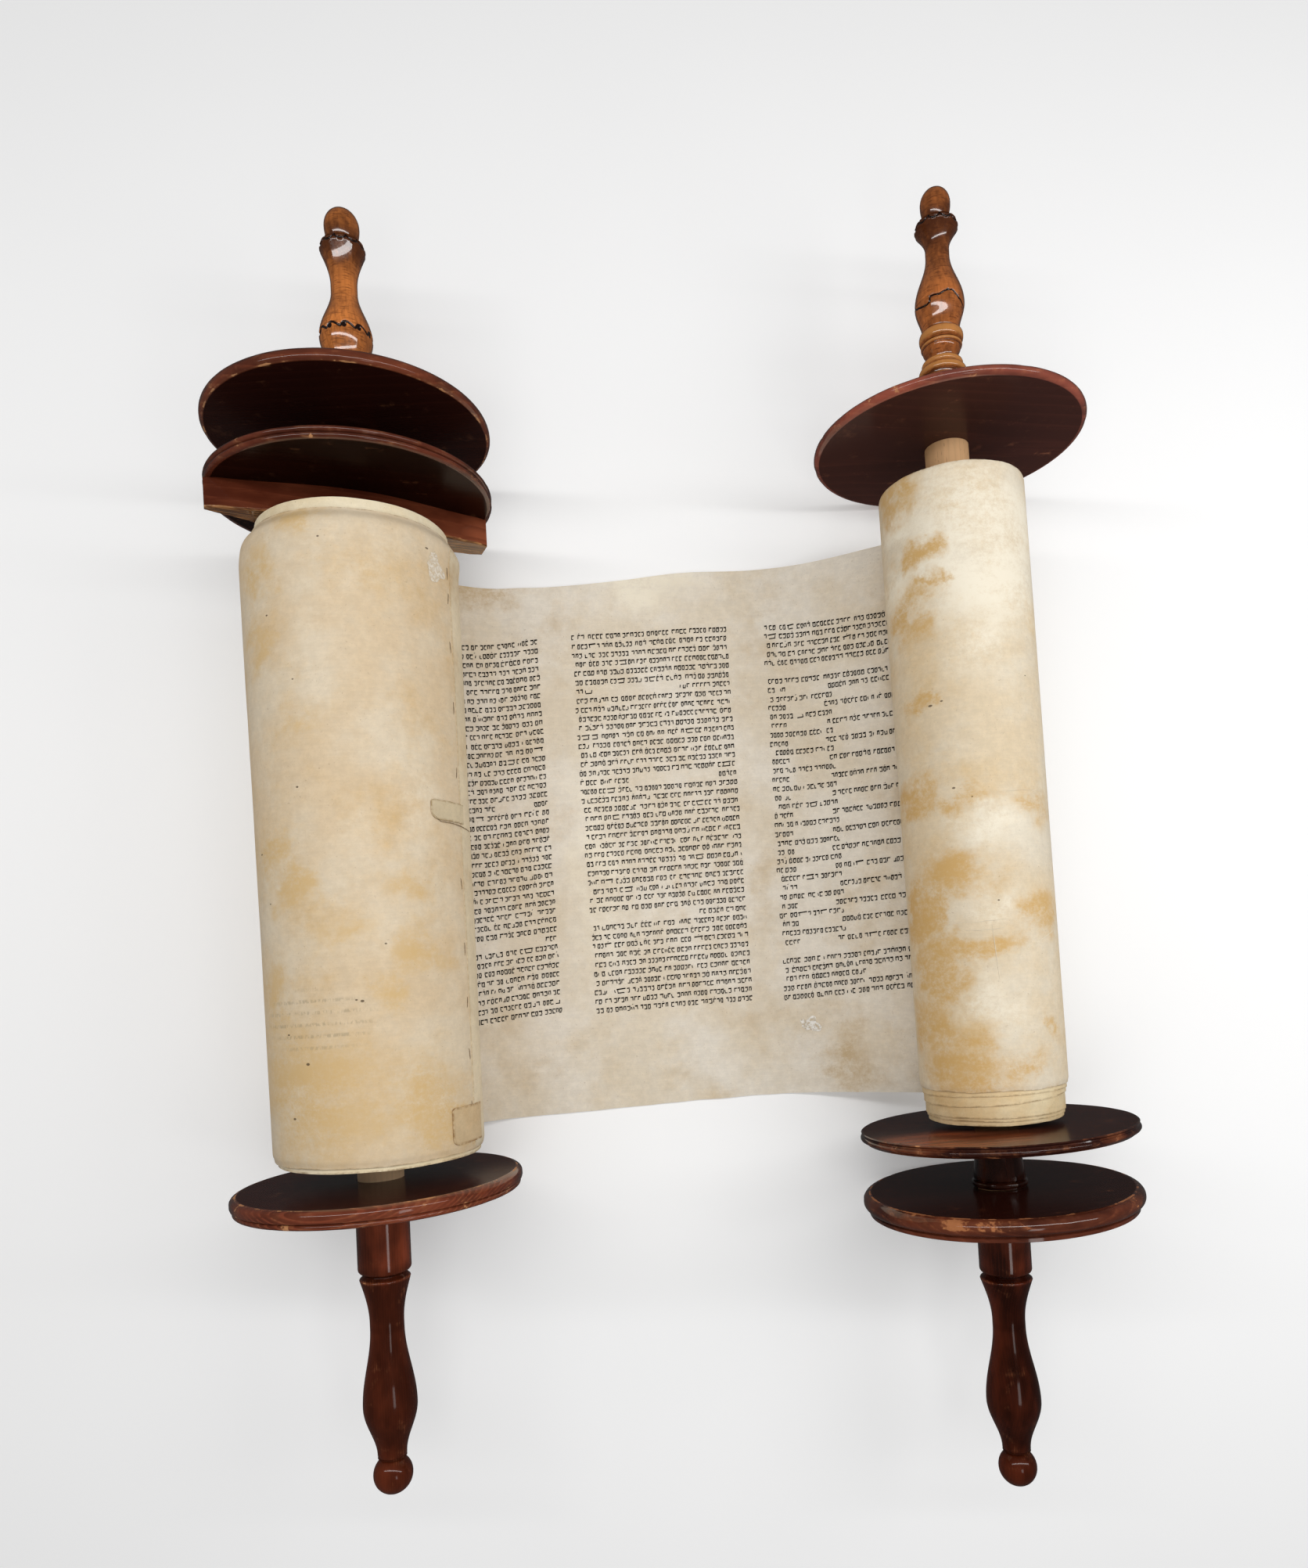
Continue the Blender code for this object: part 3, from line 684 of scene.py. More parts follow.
def build_discs():
    make_disc(
        "left_outer_disc", "left_upper_outer_disc", "dark_wood", outer_rim, 0.010, 3.1, (0.0, 0.6),
        MAHOGANY, 4, {"worn": 0.40, "streaks": 0.30, "rim_tone_and_light": 0.50}, shift=(0.0, 0.0010),
    )
    make_disc(
        "left_inner_disc", "left_upper_inner_disc", "dark_wood", twin_bead_rim, 0.0086, 7.7, INNER_DISC_LEANS,
        NEAR_BLACK, -12, {"worn": 0.32, "streaks": 0.15, "rim_tone_and_light": 0.50}, 0.1079, (0.0, 0.0007),
    )
    make_disc(
        "left_lower_disc_body", "left_lower_disc", "red_wood", groove_and_bead_rim, 0.014, 11.3, (0.0, 1.0),
        RUSSET, 10, {"rings": (0.10, 0.0026), "worn": 0.44, "streaks": 0.95, "rim_tone_and_light": 0.56},
    )
    make_disc(
        "right_top_disc", "right_upper_disc", "red_wood", plain_round_rim, 0.0074, 17.9, (0.0, 0.6),
        CHERRY_RED, -6, {"worn": 0.30, "streaks": 0.12, "rim_tone_and_light": 0.46}, 0.1084, (0.0, 0.0008),
    )
    foot = on_right_axis(upper_end("right_lower_inner_disc"))
    # A warm patch on the inner foot disc's face in front of the roll: a painted reflection of the roll in the
    # varnish.
    painted_light_patch = (foot + Vector((-0.058, 0.0, 0.066)), (0.095, 0.08, 0.070), 0.60)
    make_disc(
        "right_inner_disc", "right_lower_inner_disc", "dark_wood", stepped_round_rim, 0.009, 23.2,
        (-0.9, 1.1), FOOT_BROWN, 8, {"worn": 0.36, "streaks": 0.10, "rim_tone_and_light": -0.08, "painted_light_patch": painted_light_patch},
    )
    make_disc(
        "right_outer_disc", "right_lower_outer_disc", "red_wood", fat_ovolo_rim, 0.017, 31.4, (0.0, 1.1),
        RUBBED_MAHOGANY, -5, {"worn": 0.40, "streaks": 0.24, "rim_tone_and_light": 0.34},
        0.1090, (-0.0010, 0.0), (-48, -12, 1.22),
    )


# ---------------------------------------------------------------- rods, spools and batten

def build_rods():
    """Raw dowels, flush with the outer faces of the last discs, their ends barely eased."""
    dowels = (
        # The left dowel is painted lighter than the right one: painted light where the rod lies in the roll's
        # shade.
        ("left_dowel", "left_rod", 0.0, colour(0.94, 0.64, 0.38)),
        ("right_dowel", "right_rod", RIGHT_TURN, colour(0.74, 0.44, 0.22)),
    )
    radius, eased = 0.0175, 0.0006
    for name, node, turn, pale in dowels:
        half = (upper_end(node) - lower_end(node)) / 2
        centre = middle(node)
        profile = [(0.0, half), (radius - eased, half), (radius, half - eased)]
        profile += line((radius, half - eased), (radius, eased - half), 12)
        profile += [(radius - eased, -half), (0.0, -half)]
        piece = turn_on_lathe(name, plain(profile), 72)
        settle(piece, centre, (0.0, 0.0, turn))
        finish_piece(piece, raw_dowel_wood(name + "_wood", centre, pale), "raw_wood", node)


def raw_dowel_wood(name, centre, pale):
    """Pale unfinished wood with straight grain along the rod and fine dark pores."""
    material, tree, shader = new_material(name, 0.62, 0.25)
    place = object_position(tree, centre, DOWN_THE_ROD)
    feeds = {"Position": place, "Pith Depth": 0.05, "Ring Width": 0.0045}
    figure = place_group(tree, TIMBER_FIGURE, feeds)
    share = times(tree, figure["Fibre"], 0.6)
    share = reckon(tree, "MULTIPLY_ADD", figure["Rings"], 0.22, share, clamp=True)
    wood = mix_colours(tree, share, pale, darker(pale, 0.62))
    pores = cloudy(tree, stretched(tree, place, (90.0, 900.0, 900.0)), 1.0, 2.0)
    pores = step_between(tree, pores, 0.66, 0.72, 0.0, 0.6)
    wood = mix_colours(tree, pores, wood, colour(0.20, 0.10, 0.05))
    paint(tree, shader, wood)
    raise_bump(tree, shader, figure["Fibre"], 0.5, 0.0002)
    return material


def fit_spool(side, node, centre, turn, profile, marks, tones, **look):
    profile = [(ROD_BORE, profile[0][1])] + profile + [(ROD_BORE, profile[-1][1]), (ROD_BORE, profile[0][1])]
    piece = turn_on_lathe(side + "_collar_spool", plain(profile, *marks), 96)
    settle(piece, centre, (0.0, 0.0, turn))
    rings = (0.03, 0.004)
    varnish = varnished_wood(side + "_spool_varnish", tones, centre, DOWN_THE_ROD, rings, **look)
    finish_piece(piece, varnish, "dark_wood", node)


def build_spools():
    """Turned collars between each pair of discs."""
    node = "left_upper_spool"
    low, high = lower_end(node), upper_end(node) + 0.0020
    half = (high - low) / 2
    profile = [(0.0208, half)]
    profile += bead(0.0214, 0.0236, half - 0.0006, half - 0.0090, 8)
    profile += [(0.0202, half - 0.0100)]
    profile += flow((0.0202, half - 0.0100), (0.0192, 0.0), 6)
    profile += flow((0.0192, 0.0), (0.0202, 0.0100 - half), 6)
    profile += bead(0.0214, 0.0236, 0.0090 - half, 0.0006 - half, 8)
    profile += [(0.0208, -half)]
    centre = on_left_axis((low + high) / 2)
    fit_spool("left", node, centre, 0.0, profile, (0.15, 0.4), MAHOGANY, worn=0.3, streaks=0.15)

    node = "right_lower_spool"
    low, high = lower_end(node), upper_end(node)
    half = (high - low) / 2
    profile = [(0.0186, half)]
    profile += bead(0.0182, 0.0192, half - 0.0004, half - 0.0070, 6)
    profile += line((0.0182, half - 0.0070), (0.0180, half - 0.0136), 3)
    profile += [(0.0172, half - 0.0142), (0.0172, half - 0.0148), (0.0186, half - 0.0156)]
    profile += flow((0.0186, half - 0.0156), (0.0204, 0.0066 - half), 8)
    profile += [(0.0196, 0.0058 - half)]
    profile += bead(0.0206, 0.0222, 0.0054 - half, 0.0008 - half, 6)
    profile += [(0.0206, -half)]
    centre = on_right_axis((low + high) / 2)
    look = {"worn": 0.25, "streaks": 0.1, "rim_tone_and_light": 0.15}
    fit_spool("right", node, centre, RIGHT_TURN, profile, (0.12, 0.80), NEAR_BLACK, **look)


# The batten in its own frame: X along it, Y towards the disc and Z up, from the disc's middle.
BATTEN_REACH = (0.105, 0.102)
BATTEN_SWELL = 0.027
BATTEN_FRONT_ENDS = (0.0135, 0.010)
BATTEN_BACK_ENDS = (-0.0035, 0.014)
BATTEN_TOP = -0.0036
BATTEN_HEIGHT = 0.0222
BATTEN_FOOT = BATTEN_TOP - BATTEN_HEIGHT
BATTEN_TURN = math.radians(23)
BATTEN_ROUNDING = 0.0030
BATTEN_CORNER = 0.0014


def batten_depths(along):
    """How far the batten reaches to the front and back of its middle line, along from -1 to 1."""
    swell = (1 - along * along) ** 2
    share = (along + 1) / 2
    front = between((between(BATTEN_FRONT_ENDS, share), BATTEN_SWELL), swell)
    back = between((between(BATTEN_BACK_ENDS, share), BATTEN_SWELL), swell)
    return front, back


def fallen_away(share):
    """How far a quarter-round has fallen at a share of the way across it."""
    return 1 - math.sqrt(max(0.0, 1 - share * share))


def build_batten():
    """A lens-shaped bar across the parchment side of the inner disc, bored for the rod."""
    piece = start("left_disc_batten", bpy.ops.mesh.primitive_cube_add, size=1)
    open_edit(piece)
    bpy.ops.mesh.subdivide(number_cuts=31)
    close_edit()

    def shaped(co):
        along, up_share, deep_share = co.x * 2, co.y * 2, co.z * 2
        reach = BATTEN_REACH[0] if along < 0 else BATTEN_REACH[1]
        front, back = batten_depths(along)
        depth = (front + back) / 2
        from_end = (1 - abs(along)) * reach
        end_draw = 1.0
        if from_end < BATTEN_ROUNDING:
            end_draw = 1 - (BATTEN_ROUNDING / depth) * fallen_away(1 - from_end / BATTEN_ROUNDING)
        y = BATTEN_TOP - BATTEN_HEIGHT / 2 + BATTEN_HEIGHT / 2 * up_share
        edge = max(0.0, abs(deep_share) - (1 - BATTEN_CORNER / depth)) / (BATTEN_CORNER / depth)
        if up_share < 0:
            y += BATTEN_CORNER * fallen_away(edge) * max(0.0, -up_share) ** 6
        lump = ripple(co.x * 9, co.y * 3, co.z * 3) * 0.0005
        x = along * reach + math.copysign(BATTEN_ROUNDING, along) * max(0.0, abs(along) - 0.97) / 0.03
        return (x, y + lump * (0.5 - co.y), (front - back) / 2 + depth * deep_share * end_draw)

    move_points(piece, shaped)
    hole = start("batten_drill", bpy.ops.mesh.primitive_cylinder_add, vertices=72, radius=0.0181, depth=0.08)
    settle(hole, (0.0, -0.012, 0.0), (math.pi / 2, 0.0, 0.0))
    select_only(piece)
    drill = piece.modifiers.new("drill", "BOOLEAN")
    drill.operation = "DIFFERENCE"
    drill.solver = "EXACT"
    drill.object = hole
    bpy.ops.object.modifier_apply(modifier=drill.name)
    bpy.data.objects.remove(hole, do_unlink=True)
    about_x, about_z = (math.radians(angle) for angle in INNER_DISC_LEANS)
    turn = Euler((about_x, 0.0, about_z)).to_matrix() @ Euler((0.0, BATTEN_TURN, 0.0)).to_matrix()

    def edge_wear(co):
        front, back = batten_depths(max(-1.0, min(1.0, co.x / BATTEN_REACH[1])))
        near = min(abs(co.z - front), abs(co.z + back))
        return 1.0 if near < 0.0022 and abs(co.y - BATTEN_FOOT) < 0.0022 else 0.0

    mark(piece, "wear", edge_wear)
    mark(piece, "rim", lambda co: 0.4 if co.y > BATTEN_FOOT + 0.0008 else 1.0)
    mark(piece, "underside", lambda co: 1.0 if co.y < BATTEN_FOOT + 0.0016 else 0.0)
    centre = middle("left_upper_inner_disc")
    settle(piece, centre, turn.to_euler())
    finish_piece(piece, batten_varnish(centre), "red_wood", "left_batten", smooth_to=40)


def batten_varnish(centre):
    """Red-brown stain on the faces, painted light at the right end, and only a thin tan wash on the
    underside.
    """
    tones = (colour(0.060, 0.0115, 0.0050), colour(0.40, 0.110, 0.048), BARE_WOOD)
    # A warm patch at the batten's right end: painted light, for that end being lit more brightly.
    painted_light_patch = (centre + Vector((0.112, -0.022, 0.02)), (0.048, 0.05, 0.09), 1.20)
    material = varnished_wood(
        "left_batten_varnish", tones, centre, (0.0, -BATTEN_TURN, 0.0),
        (0.06, 0.0085), worn=0.34, streaks=0.25, rim_tone_and_light=0.26, painted_light_patch=painted_light_patch,
    )
    tree = material.node_tree
    shader = tree.nodes["Principled BSDF"]
    stained = shader.inputs["Base Color"].links[0].from_socket
    place = object_position(tree, centre, (0.0, -BATTEN_TURN, 0.0))
    fibre = cloudy(tree, stretched(tree, place, (30.0, 500.0, 500.0)), 1.0, 3.0)
    fibre = step_between(tree, fibre, 0.34, 0.66)
    wash = mix_colours(tree, fibre, colour(0.085, 0.030, 0.012), colour(0.40, 0.19, 0.072))
    seen = mix_colours(tree, attribute(tree, "underside"), stained, wash)
    paint(tree, shader, seen)
    return material


# ---------------------------------------------------------------- turned handles

EGG_TAPER = 0.020


def egg(radius, cap_height, middle_height, foot):
    """An egg from its tip on the axis down to its foot."""
    points = []
    for step in range(14):
        angle = math.pi / 2 * step / 14
        points.append((radius * math.sin(angle), middle_height + cap_height * math.cos(angle)))
    last = math.asin((middle_height - foot) / EGG_TAPER)
    for step in range(13):
        angle = last * step / 12
        points.append((radius * math.cos(angle), middle_height - EGG_TAPER * math.sin(angle)))
    return points


def rubbed_bead(edge, crown, high, low, steps, rim):
    """A bead whose crest is rubbed golden."""
    points = enumerate(bead(edge, crown, high, low, steps))
    return [(radius, height, math.sin(math.pi * index / steps), rim) for index, (radius, height) in points]


def stain_and_shade_run(points, wear, stains):
    """A run of points on which the darkening goes evenly from one depth to another: stain, partly painted
    shade in hollows.
    """
    shares = [index / len(points) for index in range(len(points))]
    return [(radius, height, wear, between(stains, share)) for (radius, height), share in zip(points, shares)]


def finial_profile(heights, girths, foot_collar, cup_fall):
    """Egg, scalloped cup, slim neck, belly, bead, taper and base rings, from the tip to the seat.
    The marks are gold where the crests are rubbed, and dark where stain pooled, which in the cup, cove,
    neck and grooves is partly painted shade."""
    cup, egg_middle, neck_low, belly, bead_top, rings = heights
    egg_radius, cap_height, neck_radius, belly_radius, neck_stain_and_shade = girths
    points = stain_and_shade_run(egg(egg_radius, cap_height, egg_middle, cup + 0.0085), 0.0, (0.05, 0.70))
    groove = points[-1][0] - 0.0008
    points += [(groove, cup + 0.0080, 0.0, 1.0)]
    points += plain(line((groove, cup + 0.0080), (0.0166, cup + 0.0052), 8), 0.30, 0.50)
    points += plain(arc((0.0130, cup + 0.0012), 0.0047, 0.0047, 52, -8, 15), 0.0, 0.80)
    begin = points[-1][:2]
    end = (neck_radius, cup - cup_fall)
    points += stain_and_shade_run(cove(begin, end, 28), 0.0, (0.80, neck_stain_and_shade))
    points += plain(line(end, (neck_radius, neck_low), 3), 0.0, neck_stain_and_shade)
    points += stain_and_shade_run(flow((neck_radius, neck_low), (belly_radius, belly), 76), 0.15, (neck_stain_and_shade, 0.0))
    points += plain(flow((belly_radius, belly), (0.0152, bead_top + 0.0010), 40), 0.05, 0.30)
    points += [(0.0148, bead_top + 0.0002, 0.0, 1.0)]
    points += rubbed_bead(0.0156, 0.0178, bead_top - 0.0002, bead_top - 0.0092, 10, 0.35)
    points += [(0.0150, bead_top - 0.0098, 0.0, 1.0)]
    points += rubbed_bead(0.0156, 0.0166, bead_top - 0.0102, bead_top - 0.0130, 6, 0.35)
    points += [(0.0154, bead_top - 0.0134, 0.0, 0.8)]
    points += plain(flow((0.0154, bead_top - 0.0136), (0.0114, rings + 0.0014), 14), 0.10, 0.35)
    points += rubbed_bead(0.0138, 0.0166, rings + 0.0010, rings - 0.0048, 9, 0.30)
    points += [(0.0156, rings - 0.0052, 0.0, 1.0)]
    points += rubbed_bead(0.0170, 0.0192, rings - 0.0056, rings - 0.0120, 9, 0.30)
    if foot_collar:
        points += [(0.0170, rings - 0.0126, 0.0, 1.0)]
        points += plain(cove((0.0170, rings - 0.0126), (0.0146, rings - 0.0230), 8), 0.0, 0.4)
        points += plain(flow((0.0146, rings - 0.0230), (0.0192, 0.0080), 10), 0.0, 0.3)
        points += plain(bead(0.0190, 0.0202, 0.0076, 0.0004, 8), 0.6, 0.3)
    return points + [(points[-1][0] - 0.0004, 0.0, 0.0, 0.6), (0.0, 0.0, 0.0, 0.6)]


def wave_motif():
    """One running wave with its curl, as (share of a repeat, height above its trough)."""
    crest = [(0.0, 0.0002), (0.06, 0.0012), (0.13, 0.0026), (0.24, 0.0037), (0.36, 0.0040)]
    crest += [(0.50, 0.0036), (0.66, 0.0026), (0.80, 0.0014), (0.92, 0.0004), (1.0, 0.0002)]
    curl = []
    for step in range(10):
        angle = math.radians(150 - 38 * step)
        radius = 0.0015 - 0.00009 * step
        curl.append((0.24 + radius * math.cos(angle) / 0.0115, 0.0011 + radius * math.sin(angle)))
    return [crest, curl]


def scallop_motif():
    """One hanging arc between two cusps."""
    points = []
    for step in range(13):
        share = step / 12
        points.append((share, 0.0034 * fallen_away(2 * share - 1)))
    return [points]


def jagged_motif():
    """A wandering cut that climbs in steps to a knot and drops away."""
    points = [(0.0, 0.0010), (0.09, 0.0002), (0.17, 0.0000), (0.235, 0.0010), (0.25, 0.0048)]
    points += [(0.33, 0.0050), (0.44, 0.0046), (0.52, 0.0064), (0.60, 0.0074), (0.70, 0.0078)]
    points += [(0.79, 0.0050), (0.86, 0.0030), (0.93, 0.0022), (1.0, 0.0010)]
    knot = [(0.585, 0.0074), (0.60, 0.0083), (0.62, 0.0076)]
    return [points, knot]


def distance_to(point, first, second):
    along = second - first
    share = max(0.0, min(1.0, (point - first).dot(along) / max(along.length_squared, 1e-12)))
    return (point - first - along * share).length


def carve_round(piece, motif, repeats, start_angle, girth, low, width, depth):
    """Cuts a repeated motif into a turned piece and marks the cut, so that the material can paint it darker.
    """
    repeat = math.tau * girth / repeats
    strokes = []
    for stroke in motif:
        points = [Vector((share * repeat, low + height)) for share, height in stroke]
        strokes += list(zip(points, points[1:]))
    top = max(point.y for pair in strokes for point in pair) + width
    carved = piece.data.attributes.get("carved") or piece.data.attributes.new("carved", "FLOAT", "POINT")
    values = [item.value for item in carved.data]
    for index, vertex in enumerate(piece.data.vertices):
        co = vertex.co
        radius = math.hypot(co.x, co.z)
        if not low - width < co.y < top or radius < 0.009:
            continue
        turn = (math.atan2(co.x, co.z) - start_angle) / math.tau * repeats
        across = (turn % 1.0) * repeat
        near = width
        for shift in (-repeat, 0.0, repeat):
            spot = Vector((across + shift, co.y))
            for first, second in strokes:
                if min(first.x, second.x) - width < spot.x < max(first.x, second.x) + width:
                    near = min(near, distance_to(spot, first, second))
        cut = 1 - (near / width) ** 2
        if cut > 0:
            scale = (radius - depth * cut) / radius
            vertex.co = (co.x * scale, co.y, co.z * scale)
            values[index] = max(values[index], cut)
    carved.data.foreach_set("value", values)
    piece.data.update()


def amber_varnish(name, centre, turn, tone):
    """Clear amber varnish over a fine-grained wood: golden on rubbed crests, dark in the cuts, dark where
    stain pooled, partly painted shade in the hollows, and darker where seen edge-on, partly the longer path
    through the varnish and partly painted shade."""
    material, tree, shader = new_material(name, 0.16, 0.25, 1.0, 0.03)
    place = object_position(tree, centre, turn)
    feeds = {"Position": place, "Pith Depth": 0.035, "Ring Width": 0.0042, "Waviness": 0.010}
    figure = place_group(tree, TIMBER_FIGURE, feeds)
    cloud = step_between(tree, figure["Cloud"], 0.34, 0.66)
    threads = step_between(tree, figure["Fibre"], 0.42, 0.66)
    share = reckon(tree, "MULTIPLY_ADD", threads, 0.38, times(tree, figure["Rings"], 0.22))
    wood = mix_colours(tree, share, tone, colour(0.21, 0.060, 0.016))
    wood = mix_colours(tree, times(tree, cloud, 0.45), wood, colour(0.24, 0.074, 0.021))
    flecks = stretched(tree, place, (900.0, 130.0, 130.0))
    flecks = step_between(tree, cloudy(tree, flecks, 1.0, 2.0), 0.54, 0.68, 0.0, 0.60)
    wood = mix_colours(tree, flecks, wood, colour(0.13, 0.034, 0.010))
    # Darker where stain pooled, partly painted shade in the hollows, and where seen edge-on, partly painted
    # shade at the silhouettes.
    pooled_stain_and_shade = reckon(tree, "MULTIPLY_ADD", cloudy(tree, place, 130.0, 5.0, 0.65), 0.9, attribute(tree, "rim"))
    pooled_stain_and_shade = step_between(tree, pooled_stain_and_shade, 0.42, 1.25, 0.0, 0.92)
    seen_across = add_node(tree, "LayerWeight", {"Blend": 0.45}).outputs["Facing"]
    pooled_stain_and_shade = reckon(tree, "MAXIMUM", pooled_stain_and_shade, step_between(tree, seen_across, 0.30, 1.0, 0.0, 0.85))
    wood = mix_colours(tree, pooled_stain_and_shade, wood, colour(0.055, 0.0135, 0.0045))
    crests = step_between(tree, attribute(tree, "wear"), 0.45, 1.0, 0.0, 0.75)
    wood = mix_colours(tree, crests, wood, colour(0.62, 0.27, 0.075))
    cuts = step_between(tree, attribute(tree, "carved"), 0.12, 0.60)
    wood = mix_colours(tree, cuts, wood, colour(0.012, 0.0035, 0.002))
    paint(tree, shader, wood)
    tree.links.new(reckon(tree, "MULTIPLY_ADD", figure["Cloud"], 0.12, 0.10), shader.inputs["Roughness"])
    relief = reckon(tree, "MULTIPLY_ADD", figure["Cloud"], 1.2, figure["Fibre"])
    raise_bump(tree, shader, relief, 0.30, 0.0004)
    return material


FINIAL_STEPS = 240
FINIAL_LEAN = math.radians(-1.55)
CUT_DEPTH = 0.0009


def build_finial(name, node, seat, turn, heights, girths, foot_collar, cup_fall, cuts, tone):
    """An upper handle. Its heights are of the cup, the egg's middle, the neck's foot, the belly, the
    bead and the rings; its girths are of the egg, the egg's cap, the neck and the belly, and then
    the neck's darkening, stain and partly painted shade. Each cut round it is (motif, repeats, first angle,
    girth, height, width)."""
    profile = finial_profile(heights, girths, foot_collar, cup_fall)
    piece = turn_on_lathe(name, profile, FINIAL_STEPS)
    for motif, repeats, angle, girth, low, width in cuts:
        carve_round(piece, motif, repeats, math.radians(angle), girth, low, width, CUT_DEPTH)
    settle(piece, seat, (0.0, 0.0, turn))
    varnish = amber_varnish(name + "_varnish", seat, DOWN_THE_ROD, tone)
    finish_piece(piece, varnish, "amber_wood", node, smooth_to=50)


def build_finials():
    node = "left_upper_handle"
    scallops = (scallop_motif(), 11, -8.4, 0.0168, 0.1405, 0.0010)
    waves = (wave_motif(), 11, 1.8, 0.0196, 0.0684, 0.00115)
    build_finial(
        "left_finial", node, on_left_axis(lower_end(node)), 0.0,
        (0.1393, 0.1598, 0.1068, 0.0693, 0.0463, 0.0193), (0.0136, 0.0144, 0.0102, 0.0205, 0.10),
        False, 0.0270, (scallops, waves), colour(0.84, 0.275, 0.062),
    )
    node = "right_upper_handle"
    scallops = (scallop_motif(), 11, -7.2, 0.0168, 0.1747, 0.0010)
    jags = (jagged_motif(), 3, -70.6, 0.0190, 0.1045, 0.0009)
    build_finial(
        "right_finial", node, on_right_axis(lower_end(node)), RIGHT_TURN + FINIAL_LEAN,
        (0.1735, 0.1959, 0.1517, 0.1107, 0.0877, 0.0625), (0.0123, 0.0135, 0.0097, 0.0200, 0.50),
        True, 0.0165, (scallops, jags), colour(0.66, 0.205, 0.050),
    )


def grip_profile(flange, girths):
    """Collar, V groove, crisp flange, waist, swelling and an end knob. Heights run down from the seat."""
    collar, lip, waist_radius, grip_radius = girths
    waist = flange - 0.034
    grip = flange - 0.098
    neck = flange - 0.136
    tip = flange - 0.166
    points = [(0.0, 0.0, 0.0, 0.5), (collar - 0.0010, 0.0, 0.2, 0.6), (collar, -0.0010, 0.3, 0.6)]
    points += plain(line((collar, -0.0010), (collar, flange + 0.0082), 10), 0.0, 1.0)
    points += plain(arc((collar - 0.0028, flange + 0.0082), 0.0028, 0.0034, 0, -66, 6), 0.25, 0.6)
    points += plain([(collar - 0.0034, flange + 0.0040)], 0.0, 0.0)
    points += plain([(collar - 0.0036, flange + 0.0034), (lip - 0.0014, flange + 0.0012)], 0.1, 0.3)
    points += plain([(lip - 0.0002, flange + 0.0002), (lip, flange - 0.0004)], 0.9, 1.0)
    points += plain(cove((lip, flange - 0.0004), (waist_radius, waist), 24), 0.0, 0.42)
    points += plain(line((waist_radius, waist), (waist_radius, waist - 0.005), 2), 0.0, 0.35)
    points += plain(flow((waist_radius, waist - 0.005), (grip_radius, grip), 28), 0.0, 0.42)
    points += plain(flow((grip_radius, grip), (0.0110, neck), 18), 0.0, 0.40)
    points += plain([(0.0104, neck - 0.0008), (0.0110, neck - 0.0016)], 0.1, 0.2)
    knob = 0.0150
    first = math.degrees(math.asin((neck - 0.0016 - tip - knob) / knob))
    points += plain(arc((0.0, tip + knob), knob, knob, first, -90, 20), 0.12, 0.45)
    points[-1] = (0.0, tip, 0.2, 0.45)
    return points


GRIP_LEAN = math.radians(-0.67)


def build_grip(name, node, seat, turn, flange, girths, stain, ruddy, rim_tone_and_light):
    piece = turn_on_lathe(name, grip_profile(flange, girths), 144)
    settle(piece, seat, (0.0, 0.0, turn))
    varnish = varnished_wood(
        name + "_varnish", (stain, ruddy, BARE_WOOD), seat, DOWN_THE_ROD,
        (0.045, 0.0018), worn=0.30, streaks=0.08, rim_tone_and_light=rim_tone_and_light,
    )
    finish_piece(piece, varnish, "red_wood", node, smooth_to=40)


def build_lower_handles():
    node = "left_lower_handle"
    build_grip(
        "left_grip", node, on_left_axis(upper_end(node)), 0.0, -0.0616, (0.0202, 0.0193, 0.0129, 0.0205),
        colour(0.0095, 0.0022, 0.0012), colour(0.340, 0.066, 0.024), 0.40,
    )
    node = "right_lower_handle"
    seat = on_right_axis(upper_end(node) - 0.0002)
    build_grip(
        "right_grip", node, seat, RIGHT_TURN + GRIP_LEAN, -0.0556, (0.0205, 0.0205, 0.0128, 0.0213),
        colour(0.0080, 0.0018, 0.0010), colour(0.300, 0.052, 0.018), 0.26,
    )


# ---------------------------------------------------------------- wound parchment

SHEET_THICKNESS = 0.0008
LEFT_TURN_ENDS = (-0.2494, 0.2230)
LEFT_CORE_ENDS = (-0.2528, 0.2318)
RIGHT_TURN_ENDS = (-0.2244, 0.2590)
LEFT_CORE_RADIUS = 0.0757
RIGHT_GIRTH = 0.0571
RIGHT_CORE_RADIUS = 0.0563
CORE_PITCH = 0.0009
CORE_THICKNESS = 0.00066
CORE_ROWS = (0.0, 11 / 24, 11 / 12, 1.0)
LEFT_SHOULDER = 0.0064
LEFT_EXIT = math.radians(19)
RIGHT_EXIT = math.radians(27)
TUCK = math.radians(46)
LEFT_JOIN = math.pi + TUCK - LEFT_EXIT
RIGHT_JOIN = math.pi - TUCK + RIGHT_EXIT


def left_centre(height):
    """Where the left roll's middle lies at a height, wound a little askew on its rod."""
    return LEFT_AXIS.x - 0.0010 - 0.0105 * height + 0.0025 * ease((height - 0.198) / 0.024)


def left_girth(height):
    """The left roll's radius, fuller at the top."""
    return 0.0794 + 0.0078 * height


def laid_grid(name, steps, place, rim=None):
    """A flat grid laid out by place(along, across), and its rim marked by rim(along, across)."""
    cuts = {"x_subdivisions": steps[0], "y_subdivisions": steps[1]}
    piece = start(name, bpy.ops.mesh.primitive_grid_add, size=1, **cuts)
    if rim:
        mark(piece, "rim", lambda co: rim(co.x + 0.5, co.y + 0.5))
    move_points(piece, lambda co: place(co.x + 0.5, co.y + 0.5))
    face_outwards(piece)
    return piece


def wound(name, steps, place, thickness, dark_edge_reach=0.0):
    """A flat strip laid out on the bench and wound up. The darker band at its edges reaches so far across it.
    """
    def rim(along, across):
        return ease(1 - towards_ends(0.5 - abs(across - 0.5)) / dark_edge_reach)

    piece = laid_grid(name, steps, place, rim if dark_edge_reach else None)
    thicken(piece, thickness)
    return piece


